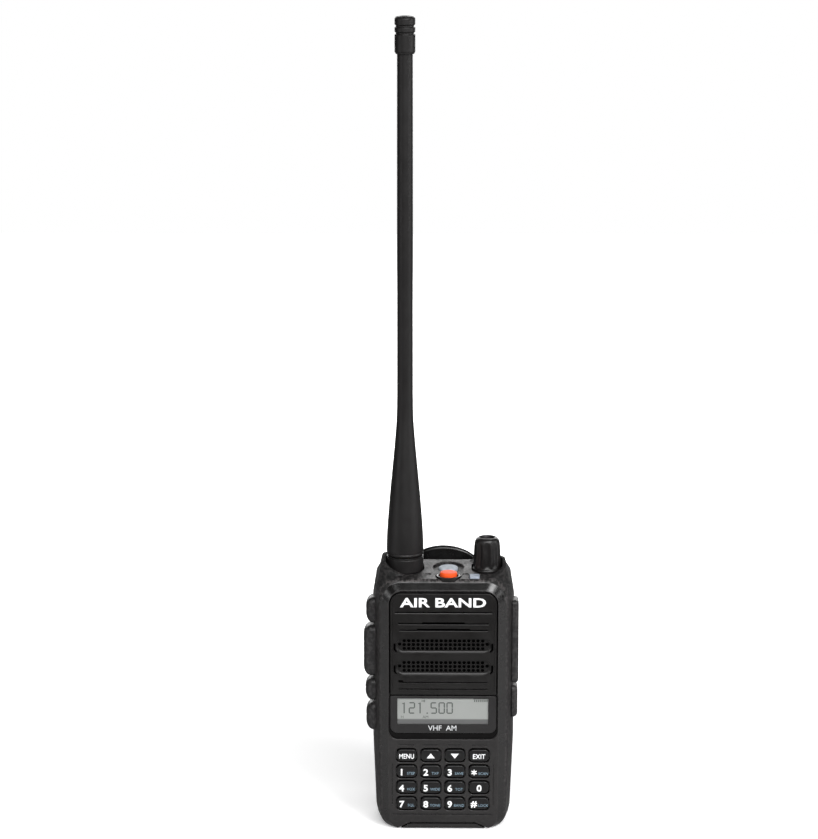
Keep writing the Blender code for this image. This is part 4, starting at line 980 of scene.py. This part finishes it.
def jack_side():
    low, high = span("jack_cover")
    y = (low.y + high.y) / 2
    half_y = (high.y - low.y) / 2
    outer, inner = high.x, 28.4
    z, half_z = (low.z + high.z) / 2, (high.z - low.z) / 2
    cover = make("jack_cover_flap", plate(
        "X", lambda grow: rounded(y, z, half_y + grow, half_z + grow, 1.7 + grow * 0.6, 8), inner, outer, 1.3, 7),
        LOOK["side"])
    inset = flared("X", lambda grow: rounded(y, z - 1.0, half_y - 1.9 + grow, half_z - 4.6 + grow, 1.2, 6), outer,
                   outer - 0.35, 0.2)
    cut(cover, inset)
    lip = rounded(y, high.z - 1.6, half_y - 1.2, 0.55, 0.5, 5)
    cut(cover, loft([[(x, u, v) for u, v in lip] for x in (outer + 1, outer - 0.5)]))
    # Two rings show which plug goes where.
    for ring_z in (z + 8.5, z - 3.0):
        outer_ring = [[(x, u, v) for u, v in circle(y, ring_z, 1.7, 32)] for x in (outer - 0.6, outer - 0.1)]
        inner_ring = [[(x, u, v) for u, v in circle(y, ring_z, 1.25, 32)] for x in (outer - 0.1, outer - 0.6)]
        join(cover, ring_of(outer_ring + inner_ring))
    shaded(cover, 35)
    for socket_z, radius in ((89.4, 1.4), (78.0, 0.9)):
        join(cover, loft([[(x, u, v) for u, v in circle(-3.7, socket_z, radius - grow, 32)]
                          for x, grow in ((27.0, 0.3), (27.3, 0.0), (29.6, 0.0))]))
    settle(cover, "jack_cover", ("jack_cover",))

    low, high = span("jack_cover_anchor")
    z, half_z = (low.z + high.z) / 2, (high.z - low.z) / 2
    outer = high.x
    anchor = make("jack_cover_foot", plate(
        "X", lambda grow: rounded(y, z, half_y + grow, half_z + grow, 1.9 + grow * 0.6, 8), low.x, outer, 1.8, 8),
        LOOK["side"])
    shaded(anchor, 35)
    settle(anchor, "case", ("jack_cover_anchor",))


# ---- top controls ----


def top_controls():
    low, high = span("alarm_button")
    radius = (high.x - low.x) / 2
    profile = filleted([(low.z, 1.9), (106.3, 1.9), (106.31, radius), (high.z - 0.15, radius),
                        (high.z, radius - 1.4), (high.z, 0.4)], 0.75, 6)
    shaded(piece("alarm_cap", turned(profile, ALARM.x, ALARM.y), "orange", "alarm_button", ("alarm_button",)), 50)
    low, high = span("alarm_button_ring")
    section = [(low.z, 5.0), (high.z - 0.3, 5.0), (high.z - 0.08, 4.92), (high.z, 4.7), (high.z, 4.3),
               (high.z - 0.3, 4.0), (low.z, 4.0)]
    shaded(piece("alarm_ring", turned_ring(section, ALARM.x, ALARM.y), "knob", "case", ("alarm_button_ring",)), 50)
    low, high = span("torch_lens")
    radius = (high.x - low.x) / 2
    profile = [(low.z, radius)] + [
        (high.z - 0.9 + 0.9 * math.sin(math.radians(a)), radius - 1.1 + 1.1 * math.cos(math.radians(a)))
        for a in range(0, 91, 15)
    ] + [(high.z, 0.3)]
    shaded(piece("torch_cap", turned(profile, TORCH.x, TORCH.y), "torch", "case", ("torch_lens",)), 50)
    led = (LED_LOW + LED_HIGH) / 2
    half = (LED_HIGH - LED_LOW) / 2
    lens = plate("Z", lambda grow: rounded(led.x, led.y, half.x + grow, half.y + grow, 0.8 + grow * 0.5, 6),
                 LED_LOW.z, LED_HIGH.z, 0.4, 5)
    shaded(piece("led_cap", lens, "led", "case", ("status_led_lens",)), 40)
    knob()


def knob():
    low, high = span("volume_knob")
    radius = (high.x - low.x) / 2
    flutes, per_flute = 10, 16
    skirt = filleted([(low.z, radius - 0.3, 0), (low.z + 0.3, radius, 0), (low.z + 1.35, radius, 0),
                      (low.z + 1.9, radius - 0.5, 0), (low.z + 2.9, radius - 0.4, 1), (low.z + 10.6, radius - 0.75, 1),
                      (low.z + 12.4, radius - 0.95, 0.5), (low.z + 13.1, radius - 1.15, 0),
                      (high.z - 0.6, radius - 1.5, 0), (high.z - 0.1, radius - 2.1, 0)], 0.7, 5)
    skirt += [(high.z, radius - 2.4, 0), (high.z, radius - 2.7, 0), (high.z - 0.9, radius - 3.3, 0),
              (high.z - 1.1, 0.4, 0)]
    loops = []
    for z, size, fluted in skirt:
        loop = []
        for step in range(flutes * per_flute):
            angle = 2 * math.pi * step / (flutes * per_flute)
            valley = (0.5 - 0.5 * math.cos(flutes * angle)) ** 0.75
            reach = size - 0.6 * fluted * valley
            loop.append((KNOB.x + reach * math.cos(angle), KNOB.y + reach * math.sin(angle), z))
        loops.append(loop)
    made = make("knob_cap", loft(loops), LOOK["knob"])
    bore = turned(((100, 3.9), (108.2, 3.9), (108.21, 1.9), (116.0, 1.9)), KNOB.x, KNOB.y, 40)
    cut(made, bore)
    shaded(made, 45)
    settle(made, "volume_control", ("volume_knob",))


# ---- antenna ----


def antenna():
    low, high = span("antenna_sheath")
    shaft_top = span("antenna_tip_cap")[0].z - 0.3
    curve = ((low.z, 7.25), (113.3, 7.60), (113.75, 7.60), (114.0, 7.38), (114.35, 7.38), (114.6, 7.60),
             (118.5, 7.55), (122.7, 7.36), (127.0, 7.09), (131.2, 6.76), (136.5, 6.35), (141.8, 5.88), (147.1, 5.38),
             (152.4, 4.88), (157.6, 4.40), (162.9, 3.96), (166.5, 3.67), (170.0, 3.45), (174.0, 3.32), (180.0, 3.26),
             (240.0, 3.24), (shaft_top, 3.2), (shaft_top + 0.02, 2.9), (high.z, 2.9))
    sheath = make("antenna_whip", turned(curve, ANTENNA.x, ANTENNA.y, 72), LOOK["antenna"])
    bore = turned(((110.0, 5.4), (114.4, 5.4), (114.5, 1.5), (317.0, 1.5)), ANTENNA.x, ANTENNA.y, 24)
    cut(sheath, bore)
    shaded(sheath, 45)
    settle(sheath, "antenna", ("antenna_sheath",))

    low, high = span("antenna_collar")
    outer = (high.x - low.x) / 2
    section = filleted([(low.z, 5.4), (low.z, outer - 0.5), (low.z + 0.5, outer), (111.55, outer), (111.75, outer - 0.2),
                        (112.0, outer - 0.2), (112.2, outer), (high.z - 0.1, outer), (high.z, outer - 0.35),
                        (high.z, 5.4)], 0.12, 2)
    ring = piece("antenna_base_ring", turned_ring(section, ANTENNA.x, ANTENNA.y, 72), "antenna", "antenna",
                 ("antenna_collar",))
    shaded(ring, 45)

    low, high = span("antenna_tip_cap")
    outer = (high.x - low.x) / 2
    profile = [(low.z, outer - 0.55), (low.z + 0.9, outer), (326.3, outer)]
    for groove in (327.15, 330.0):
        profile += [(groove - 0.55, outer), (groove - 0.35, outer - 0.5), (groove + 0.35, outer - 0.5),
                    (groove + 0.55, outer)]
    profile += [(333.1, outer), (high.z - 0.15, outer - 0.7), (high.z, outer - 1.5), (high.z, outer - 2.2),
                (high.z - 0.3, outer - 2.5), (high.z - 0.3, 0.4)]
    cap = make("antenna_tip", turned(filleted(profile, 0.3, 3), ANTENNA.x, ANTENNA.y, 72), LOOK["antenna"])
    cut(cap, turned(((310, 3.3), (324.0, 3.3)), ANTENNA.x, ANTENNA.y, 40))
    shaded(cap, 50)
    settle(cap, "antenna", ("antenna_tip_cap",))


# ---- battery ----


def battery():
    stations = filleted((
        (BATTERY_LOW.y, 28.9, HALF_WIDTH, 28.0, BATTERY_HIGH.z, 0.0, 1.2, 6.3),
        (9.0, 28.4, 28.7, 27.5, BATTERY_HIGH.z, 0.0, 1.6, 6.3),
        (13.2, 26.4, 26.8, 25.8, BATTERY_HIGH.z, 0.0, 2.4, 6.0),
        (15.2, 23.8, 24.2, 23.6, BATTERY_HIGH.z - 1.0, 1.2, 3.0, 5.2),
        (BATTERY_HIGH.y, 22.6, 23.0, 22.4, BATTERY_HIGH.z - 2.0, 2.2, 3.0, 4.8),
    ), 0.9, 5)
    pack = make("battery_shell", loft([case_loop(*station) for station in stations]), LOOK["case"])
    seat = rounded(0, 47.6, 26.6, 45.2, 1.0, 4)
    cut(pack, loft([[(u, y, v) for u, v in seat] for y in (0, 6.7)]))
    space = rounded(0, 47.6, 25.0, 43.4, 1.0, 4)
    cut(pack, loft([[(u, y, v) for u, v in space] for y in (0, 13.6)]))
    # Grip ribs low on the back and a plain recessed panel for a rating plate.
    grooves = bmesh.new()
    for z in range(8, 27, 3):
        flared("Y", lambda grow: rounded(0, z, 14.0 + grow, 0.45 + grow, 0.45, 5), BATTERY_HIGH.y,
               BATTERY_HIGH.y - 0.5, 0.3, grooves)
    cut(pack, grooves)
    panel = flared("Y", lambda grow: rounded(0, 58.0, 18.0 + grow, 24.0 + grow, 2.0 + grow, 8), BATTERY_HIGH.y,
                   BATTERY_HIGH.y - 0.3, 0.2)
    cut(pack, panel)
    shaded(pack, 30)
    settle(pack, "battery", ("battery_case",))


def seam_liners():
    """A dark strip down each side of the case's rear edge, so that no light shows through the battery seam."""
    for side, name in ((-1, "seam_liner_left"), (1, "seam_liner_right")):
        edges = []
        for inset in (0.5, 1.3):
            loop = case_loop(PARTING_Y, 28.0 - inset, HALF_WIDTH - inset, 28.0 - inset, BATTERY_HIGH.z + 0.4 - inset, inset,
                             1.2, 6.3 - inset)
            edges.append([(side * x, z) for x, _, z in loop if x > 0])
        outline = edges[0] + edges[1][::-1]
        piece(name, loft([[(u, y, v) for u, v in outline] for y in (PARTING_Y - 0.01, BATTERY_LOW.y - 0.02)]), "dark", "case")


# ---- base latch, belt clip and small hardware ----


def latch():
    low, high = span("battery_latch")
    outline = latch_outline(low.z, 2.2, 0.0)
    lever = make("latch_lever", loft([[(u, y, v) for u, v in outline] for y in (FRONT_Y, -12.0)]), LOOK["case"])
    pivot = middle("battery_latch_pin")
    boss = rounded(pivot.y, 2.35, 1.3, 1.35, 0.9, 6)
    join(lever, loft([[(x, u, v) for u, v in boss] for x in (-13.0, 13.0)]))
    for side in (-1, 1):
        arm = rounded(side * 10.55, (high.y - 13.0) / 2, 2.65, (high.y + 13.0) / 2, 0.6, 4)
        join(lever, loft([[(u, v, z) for u, v in arm] for z in (low.z + 0.02, 2.18)]))
    cut(lever, loft([[(x, u, v) for u, v in circle(pivot.y, pivot.z, 0.9, 24)] for x in (-40, 40)]))
    bevelled(lever, 0.14, 2, 40)
    shaded(lever, 30)
    settle(lever, "battery_latch", ("battery_latch",))


def clip_edge(half, y, thick, edge=0.75, steps=4):
    """The clip's cross-section: a flat strip with rounded long edges, in X and Y."""
    return rounded(0, y + thick / 2, half, thick / 2, edge, steps)


def clip_tab(top, grow):
    """The clip's thumb tab: an arch on a straight foot."""
    foot, reach = 98.8, 17.0
    points = [(reach * math.cos(math.radians(a)), foot + (top - foot) * math.sin(math.radians(a)))
              for a in range(8, 173, 4)]
    middle_z = foot + 4.0
    return [(u * (1 + grow / reach), middle_z + (v - middle_z) * (1 + grow / (top - middle_z))) for u, v in points]


def belt_clip():
    low, high = span("belt_clip")
    thick = 1.9
    inner = high.y - thick
    strip = [(low.z, 17.0, 5.5), (low.z + 2.5, 16.9, 8.2), (low.z + 8.0, 19.0, 9.8), (low.z + 14.0, inner, 10.5),
             (91.0, inner, 10.5), (96.0, inner, 12.6), (99.5, inner, 15.9)]
    strip = filleted(strip, 3.0, 6)
    loops = [[(u, v, z) for u, v in clip_edge(half, y, thick)] for z, y, half in strip]
    clip = make("clip_strip", loft(loops), LOOK["clip"])
    join(clip, plate("Y", lambda grow: clip_tab(high.z, grow), high.y, inner, 1.3, 6, 0.4))
    for side in (-1, 1):
        pivot = middle("clip_pin")
        knuckle = rounded((pivot.y + inner) / 2 + 0.1, pivot.z, (inner - pivot.y) / 2 + 1.6, 1.6, 1.5, 8)
        low_x, high_x = sorted((side * 2.6, side * 5.8))
        join(clip, loft([[(x, u, v) for u, v in knuckle] for x in (low_x, high_x)]))
        cut(clip, loft([[(x, u, v) for u, v in circle(pivot.y, pivot.z, 0.95, 24)] for x in (low_x - 1, high_x + 1)]))
    grips = bmesh.new()
    for z in (103.0, 104.8, 106.6, 108.4):
        half = 11.5 - (z - 103.0) * 1.0
        flared("Y", lambda grow: rounded(0, z, half + grow, 0.35 + grow, 0.35, 4), high.y, high.y - 0.4, 0.25, grips)
    cut(clip, grips)
    flute = flared("Y", lambda grow: rounded(0, 70.0, 5.6 + grow, 19.0 + grow, 5.0 + grow, 8), high.y, high.y - 0.4, 0.3)
    cut(clip, flute)
    shaded(clip, 35)
    settle(clip, "belt_clip", ("belt_clip",))


def screw_head(node, body="case"):
    """A pan-head screw with a cross recess in place of the plain CAD one."""
    low, high = span(node)
    centre = (low + high) / 2
    radius = (high.x - low.x) / 2
    shank = radius * 0.55
    seat = high.y - 0.8
    profile = [(low.y, shank * 0.3), (low.y + 0.8, shank), (seat, shank), (seat + 0.02, radius)]
    for step in range(7):
        angle = math.radians(15 * step)
        profile.append((high.y - 0.55 + 0.55 * math.sin(angle), radius - 0.75 * radius * (1 - math.cos(angle)) * 0.6))
    loops = [[(u, y, v) for u, v in circle(centre.x, centre.z, r, 32)] for y, r in profile]
    screw = make(f"{node}_head", loft(loops), LOOK["steel"])
    arm, width = radius * 0.55, radius * 0.14
    quarter = ((arm, width), (width, width), (width, arm))
    cross = []
    for turn in range(4):
        angle = math.radians(90 * turn)
        cross += [(centre.x + u * math.cos(angle) - v * math.sin(angle), centre.z + u * math.sin(angle) + v * math.cos(angle))
                  for u, v in quarter]
    cut(screw, loft([[(u, y, v) for u, v in cross] for y in (high.y + 1, high.y - 0.45)]))
    shaded(screw, 40)
    settle(screw, body, (node,))


CARRIED = {
    "speaker_driver": "steel", "microphone": "steel", "keypad_membrane": "silicone", "main_board": "board",
    "rear_chassis": "cast", "battery_contact_block": "brass", "antenna_jack": "brass", "volume_switch_body": "steel",
    "accessory_jack_block": "clip", "battery_latch_pin": "steel", "clip_bracket": "steel", "clip_pin": "steel",
    "clip_spring": "steel", "antenna_connector": "brass", "antenna_radiator": "steel", "volume_shaft": "steel",
    "battery_lid": "case", "battery_cell_left": "cell", "battery_cell_right": "cell",
}


def carried_nodes():
    """CAD nodes whose shape is right keep it and get their finish."""
    for node, look in CARRIED.items():
        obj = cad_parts[node]
        obj.data.materials.clear()
        obj.data.materials.append(LOOK[look])
        obj.data.shade_smooth()
        obj.data.set_sharp_from_angle(angle=math.radians(35))


# ---- stage ----


def stage():
    """A white sheet: bright where the camera sees it, and greyer in the reflections behind the radio."""
    floor = bpy.data.meshes.new("floor")
    front, side, back = 0.22, 1.2, 1.6
    floor.from_pydata([(-side, -front, 0), (side, -front, 0), (side, back, 0), (-side, back, 0)], [], [(0, 1, 2, 3)])
    obj = bpy.data.objects.new("floor", floor)
    bpy.context.scene.collection.objects.link(obj)
    made, tree, shader, place = start_material("floor_white")
    axes = put(tree, "ShaderNodeSeparateXYZ", Vector=place)
    front_part = ramp(tree, axes.outputs["Y"], -0.05, 0.03, FLOOR_FRONT, FLOOR_BACK)
    seen = tree.nodes.new("ShaderNodeLightPath").outputs["Is Camera Ray"]
    level = maths(tree, "MAXIMUM", front_part, maths(tree, "MULTIPLY", seen, FLOOR_SEEN))
    grain = noise(tree, place, 0.2, 2.0)
    tint = maths(tree, "MULTIPLY", level, ramp(tree, grain, 0.2, 0.8, 0.99, 1.0))
    colour = tree.nodes.new("ShaderNodeCombineXYZ")
    for socket in colour.inputs:
        wire(tree, socket, tint)
    wire(tree, shader.inputs["Base Color"], colour.outputs[0])
    shader.inputs["Roughness"].default_value = 0.9
    shader.inputs["Specular IOR Level"].default_value = 0.0
    shader.inputs["Emission Color"].default_value = (1, 1, 1, 1)
    far = ramp(tree, axes.outputs["Y"], 0.02, 0.5, FLOOR_GLOW, 1.0)
    wire(tree, shader.inputs["Emission Strength"], maths(tree, "MULTIPLY", seen, far))
    floor.materials.append(made)


FLOOR_FRONT, FLOOR_BACK, FLOOR_SEEN, FLOOR_GLOW = 0.85, 0.2, 0.95, 0.22

# Softboxes: place, aim, width and height, and power in watts.
SOFTBOXES = {
    "front_wide": ((0.0, -1.50, 1.00), (0, 0, 0.07), (1.5, 0.8), 30.0),
    "front_right": ((0.48, -0.70, 0.82), (0, 0, 0.09), (0.34, 0.34), 7.2),
    "side_right": ((1.00, -0.10, 0.40), (0, 0, 0.09), (0.25, 0.40), 3.0),
    "strip_left": ((-0.95, -0.55, 0.22), (0, 0, 0.08), (0.12, 0.50), 1.6),
    "strip_right": ((0.95, -0.60, 0.22), (0, 0, 0.08), (0.12, 0.50), 1.5),
    "back_high": ((0.0, 1.25, 0.66), (0, 0, 0.10), (1.6, 0.6), 8.5),
    "back_low": ((0.0, 1.35, 0.30), (0, 0, 0.10), (1.6, 0.4), 9.5),
}
AMBIENT = 0.02


def area_light(name, place, aim, size, energy):
    light = bpy.data.lights.new(name, "AREA")
    light.shape = "RECTANGLE"
    light.size, light.size_y = size
    light.energy = energy
    obj = bpy.data.objects.new(name, light)
    obj.location = place
    obj.rotation_euler = (Vector(aim) - Vector(place)).to_track_quat("-Z", "Y").to_euler()
    obj.visible_camera = False
    bpy.context.scene.collection.objects.link(obj)


def lights():
    world = bpy.data.worlds.new("studio")
    bpy.context.scene.world = world
    world.use_nodes = True
    tree = world.node_tree
    background = tree.nodes["Background"]
    rays = tree.nodes.new("ShaderNodeLightPath")
    strength = maths(tree, "MAXIMUM", rays.outputs["Is Camera Ray"], AMBIENT)
    wire(tree, background.inputs["Strength"], strength)
    background.inputs["Color"].default_value = (1, 1, 1, 1)
    for name, settings in SOFTBOXES.items():
        area_light(name, *settings)


def camera():
    data = bpy.data.cameras.new("camera")
    data.sensor_fit = "VERTICAL"
    data.sensor_height = 36.0
    data.lens = 128.98
    data.clip_start = 0.02
    obj = bpy.data.objects.new("camera", data)
    obj.location = (0.0, -1.2, 0.4315)
    aim = Vector((-0.0143, 0.0, 0.1701))
    obj.rotation_euler = (aim - obj.location).to_track_quat("-Z", "Y").to_euler()
    bpy.context.scene.collection.objects.link(obj)
    bpy.context.scene.camera = obj
    bpy.context.scene.view_settings.view_transform = "Standard"


# ---- build ----

camera()
stage()
lights()
front_case()
grille_panel()
display()
for key_name in KEY_CAPTIONS:
    key_cap(key_name)
lettering("title_print", [("AIR BAND", 3.9, 0.0, 97.3)], FRONT_Y - 0.01, "white", "case", bolder=3.2, wide=1.42)
lettering("window_print", [("VHF  AM", 2.25, -0.3, 43.75)], FRONT_Y - 0.01, "grey_ink", "case", bolder=0.9, wide=1.0)
side_control("ptt_button", (-4.0, -1.6, 0.8, 3.2))
side_control("side_key_top", (0.0,))
side_control("side_key_upper", (0.0,))
side_control("side_key_lower", (0.0,))
jack_side()
top_controls()
antenna()
battery()
seam_liners()
latch()
belt_clip()
for screw in ("chassis_screw_left", "chassis_screw_right", "clip_screw_left", "clip_screw_right"):
    screw_head(screw)
carried_nodes()
